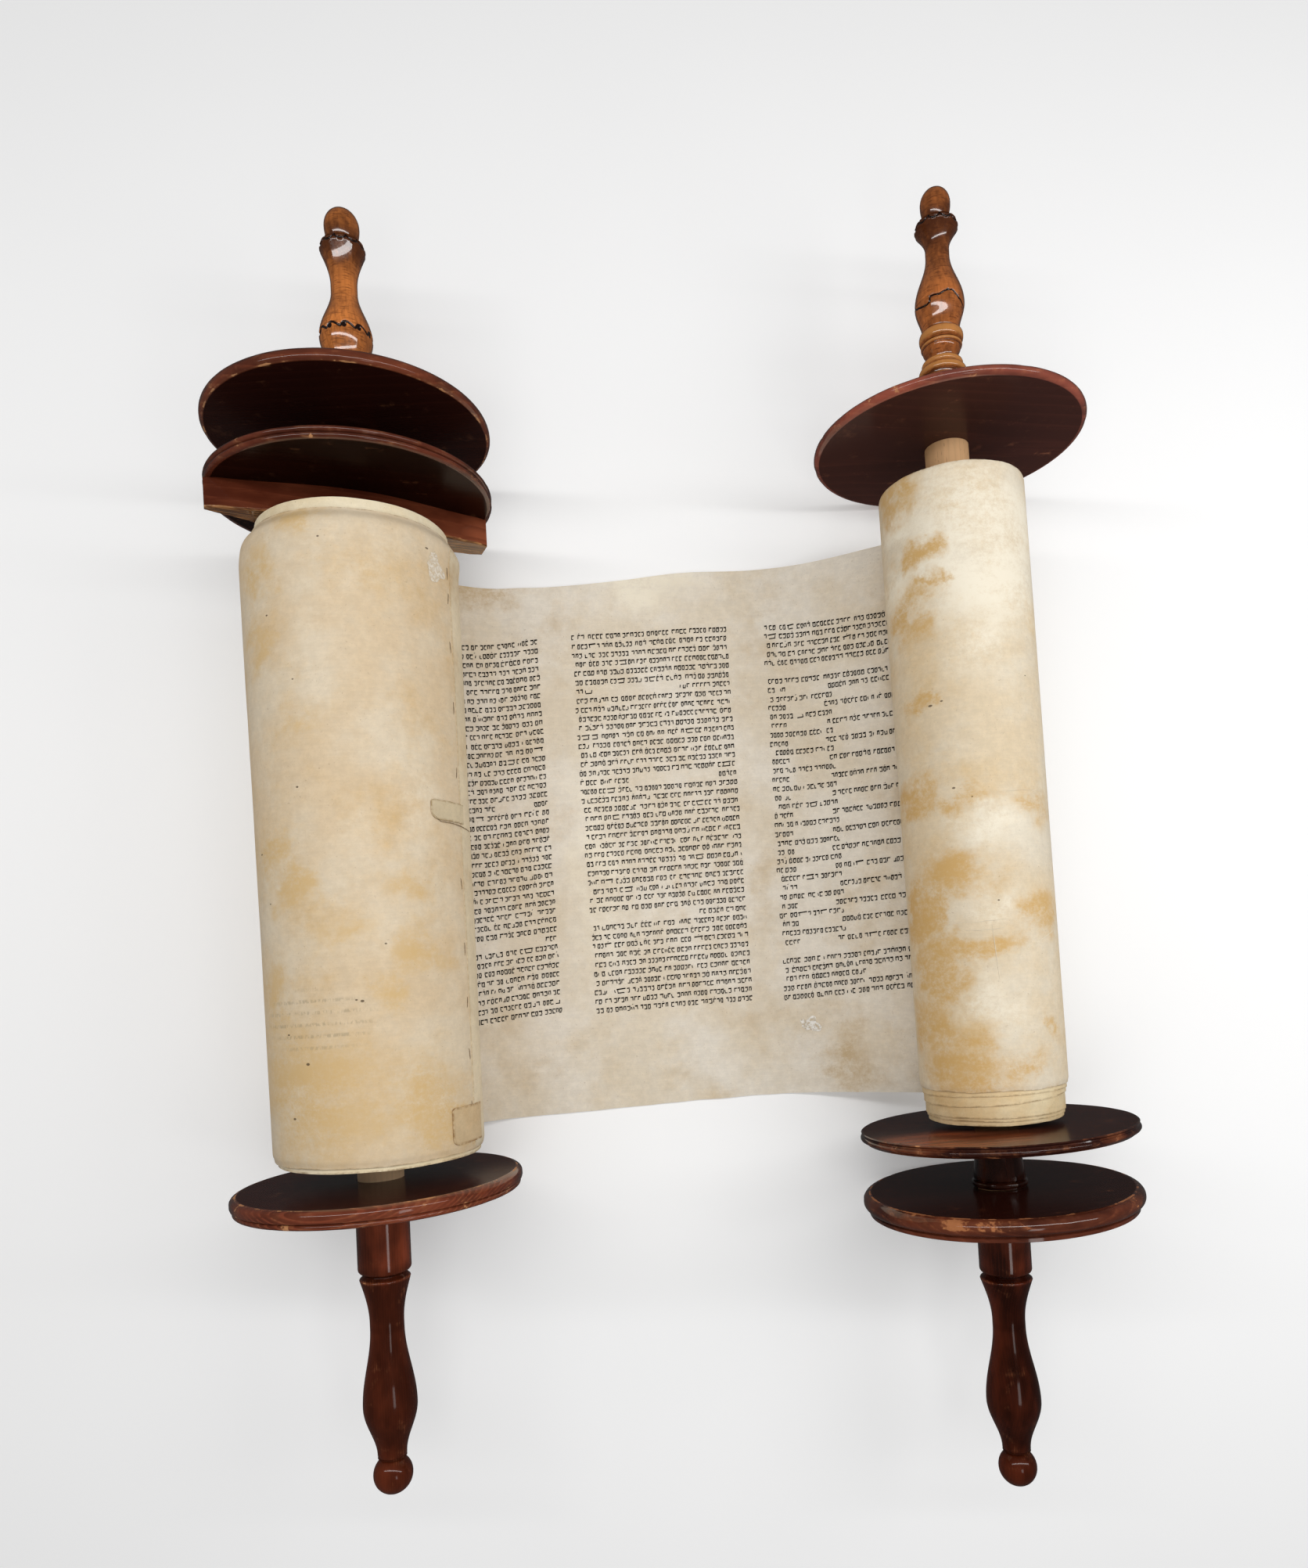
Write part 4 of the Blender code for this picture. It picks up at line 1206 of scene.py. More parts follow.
def towards_ends(share):
    """Spreads rows so that they crowd at both ends, where the edges bend."""
    return share - 0.86 * math.sin(math.tau * share) / math.tau


def turns_to_rod(radius):
    return int((radius - ROD_BORE - 0.0006) / CORE_PITCH)


def lumps(angle, height, seed, size):
    """Slow hills and hollows in the hide, in metres."""
    spot = Vector((math.cos(angle) * 1.7 + seed, math.sin(angle) * 1.7, height * 11))
    fine = Vector((math.cos(angle) * 5.1 + seed, math.sin(angle) * 5.1, height * 30))
    return size * (noise.noise(spot) + 0.35 * noise.noise(fine))


def ragged(angle, seed, size):
    """A hand-cut edge that wanders, the same all the way round."""
    spot = Vector((math.cos(angle) * 2.3 + seed, math.sin(angle) * 2.3, seed * 1.7))
    fine = Vector((math.cos(angle) * 19 + seed, math.sin(angle) * 19, seed))
    return size * (noise.noise(spot) + 0.45 * noise.noise(fine))


def left_surface(angle, height):
    """The middle of the left roll's outermost turn at an angle and a height."""
    along = (angle - LEFT_JOIN) / math.tau % 1.0
    low, high = LEFT_TURN_ENDS
    radius = left_girth(height) + 0.0010 * (1 - along)
    radius -= LEFT_SHOULDER * ease(1 - (high - height) / 0.015) ** 2
    radius -= 0.0012 * ease(1 - (height - low) / 0.006)
    return radius + lumps(angle, height, 1.3, 0.0004) * ease(8 * min(along, 1 - along))


def on_left_roll(angle, height, proud=0.0, radius=None):
    """A point on the left roll, or standing proud of its outermost turn."""
    radius = (left_surface(angle, height) if radius is None else radius) + proud
    x = left_centre(height) + radius * math.sin(angle)
    return (x, ROLLER_ZERO + height, AXIS_HEIGHT + radius * math.cos(angle))


def build_left_turn():
    """The outermost turn, its upper edge drawn in over the core and its lower one barely."""
    low, high = LEFT_TURN_ENDS

    def place(along, across):
        angle = LEFT_JOIN + math.tau * min(along, 0.99999)
        height = low + (high - low) * towards_ends(across)
        shift = ragged(angle, 4.2, 0.0006) * (ease(across * 8 - 7) + ease(1 - across * 8))
        shift -= 0.0024 * ease(1 - abs(angle - math.radians(441)) / 0.035) * ease(across * 30 - 29)
        return on_left_roll(angle, height + shift, radius=left_surface(angle, height))

    piece = wound("left_roll_outer_turn", (176, 92), place, SHEET_THICKNESS, 0.0011 / (high - low))
    return finish_piece(piece, LEFT_PARCHMENT, "parchment", "parchment", smooth_to=40)


def build_left_core():
    """Everything wound under the outermost turn, as one long strip from the rod outwards."""
    turns = turns_to_rod(LEFT_CORE_RADIUS)
    low, high = LEFT_CORE_ENDS

    def place(along, across):
        turned = turns * along
        across = CORE_ROWS[round(across * (len(CORE_ROWS) - 1))]
        angle = LEFT_JOIN + math.tau * turned
        radius = LEFT_CORE_RADIUS - CORE_PITCH * (turns - turned)
        radius *= 1 - 0.040 * ease(across * 12 - 11)
        slip = 0.0011 * ripple(turned * 1.9, 3.1, across * 5)
        height = low + (high - low) * across + slip + ragged(angle, turned * 0.11, 0.0003)
        askew = (left_centre(height) - LEFT_AXIS.x) * ease(radius / LEFT_CORE_RADIUS)
        x = LEFT_AXIS.x + askew + radius * math.sin(angle)
        return (x, ROLLER_ZERO + height, AXIS_HEIGHT + radius * math.cos(angle))

    piece = wound("left_roll_core", (60 * turns, len(CORE_ROWS) - 1), place, CORE_THICKNESS)
    return finish_piece(piece, LEFT_CORE_PARCHMENT, "parchment", "parchment", smooth_to=40)


def right_surface(angle, height):
    """The middle of the right roll's outermost turn at an angle and a height."""
    along = (RIGHT_JOIN - angle) / math.tau % 1.0
    low, high = RIGHT_TURN_ENDS
    radius = RIGHT_GIRTH + 0.0009 * (1 - along)
    radius -= 0.0005 * ease(1 - (high - height) / 0.0025)
    radius -= 0.0006 * ease(1 - (height - low) / 0.004)
    return radius + lumps(angle, height, 6.1, 0.00025) * ease(8 * min(along, 1 - along))


def build_right_turn():
    """The right roll's outermost turn."""
    low, high = RIGHT_TURN_ENDS

    def place(along, across):
        angle = RIGHT_JOIN - math.tau * min(along, 0.99999)
        height = low + (high - low) * towards_ends(across)
        radius = right_surface(angle, height)
        height += ragged(angle, 8.8, 0.0011) * (0.4 * ease(across * 8 - 7) + 0.8 * ease(1 - across * 8))
        return (radius * math.sin(angle), height, radius * math.cos(angle))

    piece = wound("right_roll_outer_turn", (168, 88), place, SHEET_THICKNESS, 0.0011 / (high - low))
    settle(piece, on_right_axis(ROLLER_ZERO), (0.0, 0.0, RIGHT_TURN))
    return finish_piece(piece, RIGHT_PARCHMENT, "parchment", "parchment", smooth_to=40)


RIGHT_SLIPS = (0.0040, 0.0100, 0.0205, 0.0232, 0.0262)


def slip_of(turns_in):
    """How far a turn under the outermost one has slipped out at the lower end."""
    last = len(RIGHT_SLIPS) - 1
    whole = min(last, int(turns_in))
    after = min(last, whole + 1)
    share = ease((turns_in - whole - 0.86) / 0.12) if turns_in < last else 0.0
    return between((RIGHT_SLIPS[whole], RIGHT_SLIPS[after]), share)


def build_right_core():
    """The turns under it: the outer few have slipped out at the lower end, the rest lie together."""
    turns = turns_to_rod(RIGHT_CORE_RADIUS)
    low, high = RIGHT_TURN_ENDS

    def place(along, across):
        turned = turns * along
        angle = RIGHT_JOIN - math.tau * turned
        radius = RIGHT_CORE_RADIUS - CORE_PITCH * turned
        wander = 0.0008 * ripple(turned * 2.3, 7.7, across * 4)
        wander += ragged(angle, 2.6 + turned * 0.1, 0.0004)
        lean_in = 0.0030 * math.sin(angle) * ease(1 - abs(turned - 1.3))
        bottom = low - slip_of(turned) + wander + lean_in
        top = high - 0.0014 + wander
        height = bottom + (top - bottom) * across
        return (radius * math.sin(angle), height, radius * math.cos(angle))

    piece = wound("right_roll_core", (96 * turns, 1), place, CORE_THICKNESS)
    settle(piece, on_right_axis(ROLLER_ZERO), (0.0, 0.0, RIGHT_TURN))
    return finish_piece(piece, CORE_PARCHMENT, "parchment", "parchment", smooth_to=40)


# ---------------------------------------------------------------- the open sheet

TOUCHDOWN = (-0.136, 0.074)
REST_HEIGHT = 0.0008


def bezier(first, second, third, fourth, steps):
    """Points on a cubic curve, without the first one."""
    points = []
    for step in range(1, steps + 1):
        share = step / steps
        left = 1 - share
        point = first * left ** 3 + second * 3 * left * left * share
        points.append(point + third * 3 * left * share * share + fourth * share ** 3)
    return points


def rising_side(centre_x, radius, exit_angle, touchdown, side):
    """From under a roll, off it at the exit angle, and down to the table, as (x, z) points."""
    points = []
    for step in range(13):
        angle = exit_angle - TUCK * (1 - step / 12)
        x = centre_x + side * radius * math.sin(angle)
        points.append(Vector((x, AXIS_HEIGHT - radius * math.cos(angle))))
    down = Vector((touchdown, REST_HEIGHT))
    begin = points[-1]
    heading = Vector((side * math.cos(exit_angle), -math.sin(exit_angle)))
    reach = (down - begin).length
    landing = down - Vector((side * reach * 0.35, 0.0))
    return points + bezier(begin, begin + heading * reach * 0.45, landing, down, 40)


LINE_CACHE = {}  # the lines already reckoned, by height


def sheet_line(y):
    """The sheet's middle line across from roll to roll at one height: points and developed lengths,
    which equal x where the sheet lies flat."""
    key = round(y, 3)
    if key in LINE_CACHE:
        return LINE_CACHE[key]
    height = key - ROLLER_ZERO
    left = rising_side(left_centre(height), left_girth(height) + 0.0011, LEFT_EXIT, TOUCHDOWN[0], 1)
    right = rising_side(on_right_axis(key).x, RIGHT_GIRTH + 0.0010, RIGHT_EXIT, TOUCHDOWN[1], -1)
    points = left + list(reversed(right))
    lengths = [0.0]
    for before, after in zip(points, points[1:]):
        lengths.append(lengths[-1] + (after - before).length)
    shift = TOUCHDOWN[0] - lengths[len(left) - 1]
    LINE_CACHE[key] = (points, [length + shift for length in lengths])
    return LINE_CACHE[key]


def cockle(x, y):
    """How far the hide stands off the table, more towards its upper edge."""
    hills = ripple(x * 13, y * 8, 2.2) + 0.5 * ripple(x * 31, y * 19, 5.2)
    lifted = 0.0030 * ease((y - 0.13) / 0.13) * (0.6 + 0.8 * ripple(x * 16, 0.4, 0.0))
    return 0.0011 * max(0.0, 0.5 + hills) + max(0.0, lifted)


def on_sheet(developed, y):
    """A point on the sheet's middle line and the direction that it faces there."""
    points, lengths = sheet_line(y)
    developed = max(lengths[0], min(lengths[-1], developed))
    high = next(index for index in range(1, len(lengths)) if lengths[index] >= developed)
    share = (developed - lengths[high - 1]) / (lengths[high] - lengths[high - 1])
    along = points[high] - points[high - 1]
    spot = points[high - 1] + along * share
    facing = Vector((-along.y, 0.0, along.x)).normalized()
    flat = ease((developed - TOUCHDOWN[0] + 0.05) / 0.08) * ease((TOUCHDOWN[1] + 0.06 - developed) / 0.08)
    point = Vector((spot.x, y, spot.y)) + facing * cockle(developed, y) * flat
    return point, facing


def lower_edge(x):
    """The sheet's lower edge, which climbs a little to the right."""
    return -0.2292 + 0.0086 * ease((x + 0.20) / 0.30) + 0.0006 * ripple(x * 40, 1.1, 0.0)


def upper_edge(x):
    """The upper edge: level by the left roll, then a long step up."""
    rise = 0.0105 * ease((x + 0.105) / 0.14) + 0.0022 * ease((x - 0.02) / 0.14)
    return 0.2462 + rise + 0.0007 * ripple(x * 26, 9.4, 0.0)


def build_open_sheet():
    """The stretch between the rolls, tucked under each."""
    lengths = sheet_line(ROLLER_ZERO)[1]
    first, last = lengths[0], lengths[-1]

    def place(along, across):
        developed = first + (last - first) * along
        low, high = lower_edge(developed), upper_edge(developed)
        spot, _ = on_sheet(developed, low + (high - low) * across)
        return spot

    piece = wound("open_parchment_sheet", (240, 110), place, SHEET_THICKNESS)
    finish_piece(piece, SHEET_PARCHMENT, "parchment", "parchment", smooth_to=40)
    return piece


# ---------------------------------------------------------------- rows of ink strokes, which are no letters

ROWS = 42
FULL = ((0.0, 1.0),)
COLUMN_WIDTH = 0.1406
# Of each column: its left edge and its rows' heights, each first and last, and the slopes of those rows.
COLUMNS = {
    "left": ((-0.2541, -0.2471), (0.1854, -0.1466), (0.095, 0.095)),
    "middle": ((-0.0824, -0.0748), (0.2013, -0.1361), (0.031, 0.034)),
    "right": ((0.0938, 0.0964), (0.2059, -0.1326), (-0.055, 0.060)),
}
BROKEN_ROWS = {
    ("left", 18): ((0.0, 0.66), (0.90, 1.0)),
    ("left", 33): ((0.94, 1.0),),
    ("middle", 6): ((0.0, 0.12), (0.66, 1.0)),
    ("middle", 16): ((0.0, 0.30), (0.88, 1.0)),
    ("middle", 31): ((0.70, 1.0),),
    ("right", 5): (),
    ("right", 36): (),
    ("right", 39): ((0.0, 0.53),),
}


def filled_spans(column, row):
    """Which parts of a row are written, from 0 at its left end to 1."""
    if (column, row) in BROKEN_ROWS:
        return BROKEN_ROWS[(column, row)]
    if column != "right" or row < 5 or row == 6 or row > 36:
        return FULL
    if row % 2:
        return ((0.0, 0.11), (0.37, 0.88))
    return ((0.0, 0.41), (0.91, 1.0))


def row_strokes(draw, left, right):
    """Dashes and ticks along one row, as (centre x, centre height, half length, half width, slant)."""
    strokes = []
    x = right
    while x > left + 0.0016:
        word = min(draw.uniform(0.006, 0.020), x - left)
        word_end = x - word
        while x > word_end + 0.0010:
            pitch = draw.uniform(0.0029, 0.0038)
            if draw.random() < 0.025 and x - word_end > 0.009:
                pitch = draw.uniform(0.007, 0.010)
            length = pitch * draw.uniform(0.68, 0.86)
            middle_x = x - pitch / 2
            if draw.random() < 0.94:
                heavy = draw.uniform(0.00076, 0.00100)
                strokes.append((middle_x, draw.uniform(-0.0001, 0.0001), length / 2, heavy, 0.10))
            if draw.random() < 0.62:
                foot = length * draw.uniform(0.32, 0.48)
                heavy = draw.uniform(0.00058, 0.00076)
                strokes.append((middle_x + draw.uniform(-0.0004, 0.0004), -0.0035, foot, heavy, 0.06))
            for side in draw.choice(((-0.36,), (0.36,), (-0.36, 0.36))):
                slant = draw.uniform(1.35, 1.80)
                strokes.append((middle_x + length * side, -0.00185, 0.00122, 0.00056, slant))
            if draw.random() < 0.06:
                strokes.append((middle_x, 0.0016, 0.00055, 0.00030, draw.uniform(0.4, 1.2)))
            x -= pitch
        x = min(x, word_end) - draw.uniform(0.0011, 0.0021)
    return strokes


INK_LIFT = 0.00012
INK_DEPTH = 0.00018


def brush_stroke():
    """One stroke modelled once: a low bar with eased ends."""
    stroke = start("stroke_pattern", bpy.ops.mesh.primitive_cube_add, size=2)
    open_edit(stroke)
    bpy.ops.mesh.select_all(action="DESELECT")
    bpy.ops.mesh.select_mode(type="FACE")
    close_edit()
    for face in stroke.data.polygons:
        face.select = abs(face.normal.x) > 0.5
    open_edit(stroke)
    bpy.ops.transform.resize(value=(1.0, 0.62, 1.0))
    close_edit()
    return stroke


def build_inscription():
    """All the strokes in one mesh that lies on the sheet and bends with it."""
    pattern = brush_stroke()
    corners = [vertex.co.copy() for vertex in pattern.data.vertices]
    faces = [tuple(face.vertices) for face in pattern.data.polygons]
    bpy.data.objects.remove(pattern, do_unlink=True)
    draw = random.Random(42)
    points = []
    quads = []
    lengths = sheet_line(0.0)[1]
    for column, measures in COLUMNS.items():
        for row in range(ROWS):
            first, base, slope = (between(pair, row / (ROWS - 1)) for pair in measures)
            for begin, end in filled_spans(column, row):
                left = first + COLUMN_WIDTH * begin
                right = first + COLUMN_WIDTH * end + draw.uniform(-0.0006, 0.0006)
                for middle_x, rise, half_long, half_wide, slant in row_strokes(draw, left, right):
                    if not lengths[12] - 0.004 < middle_x < lengths[-13] + 0.004:
                        continue
                    height = base + rise + slope * (middle_x - first)
                    height += 0.0006 * ripple(middle_x * 9, row * 0.7, 3.3)
                    count = len(points)
                    for corner in corners:
                        long, wide = corner.x * half_long, corner.y * half_wide
                        across = long * math.cos(slant) - wide * math.sin(slant)
                        up = long * math.sin(slant) + wide * math.cos(slant)
                        spot, facing = on_sheet(middle_x + across, height + up)
                        points.append(spot + facing * (SHEET_THICKNESS / 2 + INK_LIFT + INK_DEPTH * corner.z))
                    quads += [tuple(count + index for index in face) for face in faces]
    mesh = bpy.data.meshes.new("inscription_strokes")
    mesh.from_pydata(points, [], quads)
    piece = bpy.data.objects.new("inscription_strokes", mesh)
    bpy.context.scene.collection.objects.link(piece)
    return finish_piece(piece, INK, "parchment", smooth_to=20)


# ---------------------------------------------------------------- seam, patches and repairs

def tube(name, path, radius, steps, sides=8):
    """A thread along a path of (point, facing) pairs, tapering to nothing at both ends."""

    def place(along, around):
        spot = along * (len(path) - 1)
        before = min(len(path) - 2, int(spot))
        share = spot - before
        point = path[before][0].lerp(path[before + 1][0], share)
        facing = path[before][1].lerp(path[before + 1][1], share).normalized()
        aside = (path[before + 1][0] - path[before][0]).cross(facing).normalized()
        turn = math.tau * around
        girth = radius * math.sin(math.pi * min(1.0, max(0.0, along))) ** 0.25
        return point + (facing * math.cos(turn) + aside * math.sin(turn)) * girth

    return laid_grid(name, (steps, sides), place)


def outward_on_left(angle):
    return Vector((math.sin(angle), 0.0, math.cos(angle)))


STITCHES = (0.2090, 0.1897, 0.1520, 0.1050, 0.0550, -0.0302, -0.0802, -0.1208, -0.1602, -0.2007)


def build_stitches():
    """Long sinew stitches down the seam of the left roll, each dipping into the hide at both ends."""
    angle = math.radians(72)
    stitches = []
    for number, y in enumerate(STITCHES):
        path = []
        half = 0.0050 if number % 3 else 0.0058
        for step in range(9):
            share = step / 8 * 2 - 1
            height = y - ROLLER_ZERO + half * share
            lift = 0.00072 - 0.0008 * share ** 6
            askew = angle + 0.010 * math.sin(number * 2.1) * share
            path.append((Vector(on_left_roll(askew, height, lift)), outward_on_left(askew)))
        stitches.append(tube("seam_stitch_%02d" % number, path, 0.00026, 20))
    bpy.ops.object.select_all(action="DESELECT")
    for stitch in stitches:
        stitch.select_set(True)
    bpy.context.view_layer.objects.active = stitches[0]
    bpy.ops.object.join()
    stitches[0].name = "left_seam_stitches"
    return finish_piece(stitches[0], SINEW, "parchment", smooth_to=60)


def rounded_in(radius, gap):
    """How far a rounded corner draws an edge in, at a gap from its end."""
    return radius - math.sqrt(max(0.0, radius ** 2 - (radius - gap) ** 2)) if gap < radius else 0.0


def laid_hide(name, angles, heights, corner, proud, steps, material, thickness=0.0004, border=0.0016):
    """A piece of hide glued on the left roll, the corner at its lower left rounded."""
    first, last = (math.radians(angle) for angle in angles)
    girth = 0.0798
    long = heights[1] - heights[0]

    def place(along, across):
        up = across * long
        drawn_in = max(rounded_in(corner, up), rounded_in(corner * 0.4, long - up))
        begin = first + drawn_in / girth
        height = heights[0] + up - ROLLER_ZERO
        height += 0.0004 * ripple(along * 7, across * 7, first)
        return on_left_roll(begin + (last - begin) * along, height, proud)

    def rim(along, across):
        near = min(along * (last - first) * girth, across * long, (1 - across) * long)
        return ease(1 - near / border)

    piece = laid_grid(name, steps, place, rim)
    thicken(piece, thickness)
    return finish_piece(piece, material, "parchment", smooth_to=40)


def build_seam_and_patches():
    low, high = LEFT_TURN_ENDS
    lap = (ROLLER_ZERO + low + 0.001, ROLLER_ZERO + high - 0.010)
    laid_hide("left_seam_lap", (74.3, 100.0), lap, 0.001, 0.00062, (14, 120), LAP_PARCHMENT)
    laid_hide(
        "left_strap_patch", (49.0, 77.5), (0.0163, 0.0312), 0.0065, 0.00105, (24, 16),
        PATCH_PARCHMENT, 0.0005,
    )
    laid_hide(
        "left_foot_patch", (53.5, 84.0), (-0.2262, -0.1985), 0.0055, 0.00105, (30, 28),
        FOOT_PARCHMENT, 0.0005, 0.0022,
    )
    path = []
    for step in range(33):
        share = step / 32
        angle = math.radians(49.2 + 41 * share)
        y = 0.0200 - 0.0050 * ease(share * 6) - 0.0022 * ease((share - 0.3) / 0.7)
        path.append((Vector(on_left_roll(angle, y - ROLLER_ZERO, 0.0012)), outward_on_left(angle)))
    thread = tube("left_strap_thread", path, 0.00028, 64)
    finish_piece(thread, SINEW, "parchment", smooth_to=60)


CREASES = (
    ((0.206, -0.0790), (0.244, -0.0775)),
    ((0.255, -0.1010), (0.284, -0.0880)),
    ((0.230, -0.0800), (0.2335, -0.1230)),
    ((0.247, 0.0200), (0.284, 0.0215)),
    ((0.212, -0.0850), (0.240, -0.0840)),
)


def build_creases():
    """Pale lines where the right roll's hide has been creased or scratched."""
    for number, (begin, end) in enumerate(CREASES):
        path = []
        for step in range(17):
            share = step / 16
            x, y = (between(ends, share) for ends in zip(begin, end))
            y += 0.0007 * ripple(share * 4, number * 3.1, 0.0)
            axis = on_right_axis(y)
            angle = math.asin(max(-1.0, min(1.0, (x - axis.x) / (RIGHT_GIRTH + 0.0011))))
            radius = right_surface(angle, y - ROLLER_ZERO) + 0.00042
            spot = Vector((axis.x + radius * math.sin(angle), y, axis.z + radius * math.cos(angle)))
            path.append((spot, outward_on_left(angle)))
        crease = tube("right_roll_crease_%d" % number, path, 0.00026, 32, 6)
        finish_piece(crease, CREASE_PARCHMENT, "parchment", smooth_to=60)


def flaked_paste(name, seed, wide, long, paste, laid):
    """A scab of white paste, flaked off in places, lying where laid(x, y, lift) puts it."""
    def place(along, across):
        away = Vector((along - 0.5, across - 0.5))
        reach = max(abs(away.x), abs(away.y))
        if reach > 1e-6:
            away = away.normalized() * reach
        ragged_edge = 1 + 0.9 * ripple(away.x * 2.2, away.y * 2.2, seed)
        away = Vector((away.x * wide * ragged_edge, away.y * long * ragged_edge))
        crust = 0.00018 + 0.00022 * ripple(away.x * 420, away.y * 420, 1.0)
        crust *= ease((0.5 - reach) * 12)
        return laid(away.x, away.y, 0.00002 + max(0.0, crust))

    piece = laid_grid(name, (40, 40), place)
    thicken(piece, 0.0001, -1.0)
    finish_piece(piece, paste, "parchment", smooth_to=25)


SHEET_FLAKE = (0.1151, -0.1601)
SEAM_FLAKE = (math.radians(61.5), 0.2085)


def build_flaking_repairs():
    """One scab on the open sheet and another beside the left roll's seam."""
    def on_open_sheet(x, y, lift):
        spot, facing = on_sheet(SHEET_FLAKE[0] + x, SHEET_FLAKE[1] + y)
        return spot + facing * (SHEET_THICKNESS / 2 + lift)

    def beside_the_seam(x, y, lift):
        height = SEAM_FLAKE[1] - ROLLER_ZERO + y
        return on_left_roll(SEAM_FLAKE[0] + x / 0.0797, height, 0.00050 + lift)

    flaked_paste("sheet_repair_flakes", 4.4, 0.017, 0.0136, PASTE, on_open_sheet)
    flaked_paste("left_seam_flakes", 8.3, 0.018, 0.016, WORN_PASTE, beside_the_seam)


# ---------------------------------------------------------------- parchment finishes

def wandering(tree, place, scale, reach):
    """A place pushed about by noise, so that outlines drawn with it wander."""
    feeds = {"Vector": place, "Scale": scale, "Detail": 6.0, "Roughness": 0.65}
    push = add_node(tree, "TexNoise", feeds).outputs["Color"]
    push = on_vectors(tree, "SUBTRACT", push, (0.5, 0.5, 0.5))
    push = stretched(tree, push, (1.5 * reach, reach, reach))
    return on_vectors(tree, "ADD", place, push)


def stain_cloud(tree, place, spots):
    """Several soft stains together, broken into slanting clouds and fine grain."""
    pushed = wandering(tree, place, 26.0, 0.060)
    nearest = 0.0
    for spot in spots:
        nearest = reckon(tree, "MAXIMUM", closeness(tree, pushed, *spot), nearest)
    soft = step_between(tree, nearest, 0.02, 0.80)
    feeds = {"Vector": place, "Rotation": (0.0, 0.0, -0.45), "Scale": (16.0, 44.0, 16.0)}
    slanting = add_node(tree, "Mapping", feeds).outputs[0]
    clouds = cloudy(tree, slanting, 1.0, 8.0, 0.70)
    grain = cloudy(tree, place, 240.0, 5.0, 0.85)
    broken = reckon(tree, "MULTIPLY_ADD", clouds, 1.1, times(tree, grain, 0.9))
    broken = reckon(tree, "MULTIPLY_ADD", soft, 0.18, broken)
    return times(tree, soft, step_between(tree, broken, 0.84, 1.32, 0.12, 1.0))


ROW_PITCH = 0.00828


def show_through(tree, place, skin, region, strength):
    """Rows of writing on the far side, just visible through the hide as broken grey lines."""
    parts = add_node(tree, "SeparateXYZ", {0: place}).outputs
    waver = times(tree, cloudy(tree, place, 14.0, 1.0), 0.004)
    rows = reckon(tree, "FRACT", reckon(tree, "DIVIDE", reckon(tree, "ADD", parts[1], waver), ROW_PITCH))
    from_row = reckon(tree, "ABSOLUTE", reckon(tree, "SUBTRACT", rows, 0.5))
    dashes = cloudy(tree, stretched(tree, place, (520.0, 200.0, 520.0)), 1.0, 3.0)
    dashes = step_between(tree, dashes, 0.42, 0.60)
    mask = times(tree, step_between(tree, from_row, 0.06, 0.22, 1.0, 0.0), dashes)
    mask = times(tree, mask, step_between(tree, region, 0.05, 0.5, 0.0, strength))
    return mix_colours(tree, mask, skin, colour(0.30, 0.25, 0.16))


def aged_parchment(name, tones, stains, stain_colour, bleached=(), specks=(), rows=None, edge_dirt=0.0):
    """Scraped and handled hide: its own tones, stains in places, and specks."""
    material, tree, shader = new_material(name, 0.50, 0.30)
    place = object_position(tree)
    pale, cream, ochre = tones
    feeds = {"Position": place, "Pale": pale, "Cream": cream, "Ochre": ochre}
    skin = place_group(tree, PARCHMENT_SKIN, feeds)
    shade = skin["Color"]
    if bleached:
        shade = mix_colours(tree, stain_cloud(tree, place, bleached), shade, colour(0.92, 0.84, 0.68))
    if stains:
        shade = mix_colours(tree, stain_cloud(tree, place, stains), shade, stain_colour)
    for spot, size in specks:
        near = closeness(tree, place, spot, (size, 0.7 * size, 0.02))
        near = step_between(tree, near, 0.0, 0.35, 0.0, 0.85)
        shade = mix_colours(tree, near, shade, colour(0.10, 0.065, 0.035))
    # Darker along the marked rim and near the strip's lower edge, broken up by noise.
    edge_breakup = step_between(tree, cloudy(tree, place, 90.0, 6.0, 0.75), 0.38, 0.66)
    across = add_node(tree, "SeparateXYZ", {0: add_node(tree, "TexCoord").outputs["UV"]}).outputs[1]
    near_edge = step_between(tree, across, 0.0010, 0.0026, edge_dirt, 0.0)
    edge = times(tree, edge_breakup, reckon(tree, "MAXIMUM", near_edge, attribute(tree, "rim")))
    shade = mix_colours(tree, edge, shade, colour(0.30, 0.19, 0.085))
    if rows:
        centre, sizes, strength = rows
        shade = show_through(tree, place, shade, closeness(tree, place, centre, sizes), strength)
    paint(tree, shader, shade)
    tree.links.new(skin["Polish"], shader.inputs["Roughness"])
    raise_bump(tree, shader, skin["Relief"], 0.30, 0.0006)
    return material


def patch_parchment(name, tone, edge_tone, edge_strength):
    """Thinner hide glued on, with a darker line of glue round it."""
    material, tree, shader = new_material(name, 0.5, 0.3)
    place = object_position(tree)
    feeds = {"Position": place, "Pale": tone, "Cream": darker(tone, 0.86)}
    skin = place_group(tree, PARCHMENT_SKIN, feeds)
    broken = step_between(tree, cloudy(tree, place, 260.0, 3.0), 0.30, 0.60)
    glue = times(tree, attribute(tree, "rim"), times(tree, broken, edge_strength))
    paint(tree, shader, mix_colours(tree, glue, skin["Color"], edge_tone))
    raise_bump(tree, shader, skin["Relief"], 0.30, 0.0006)
    return material


def mingled_finish(name, roughness, specular, grain, limits, first, second, relief=0.0):
    """Two colours that noise breaks into each other. Its grain is (scale, detail, roughness)."""
    material, tree, shader = new_material(name, roughness, specular)
    share = step_between(tree, cloudy(tree, object_position(tree), *grain), *limits)
    paint(tree, shader, mix_colours(tree, share, first, second))
    if relief:
        raise_bump(tree, shader, share, relief, 0.0004)
    return material


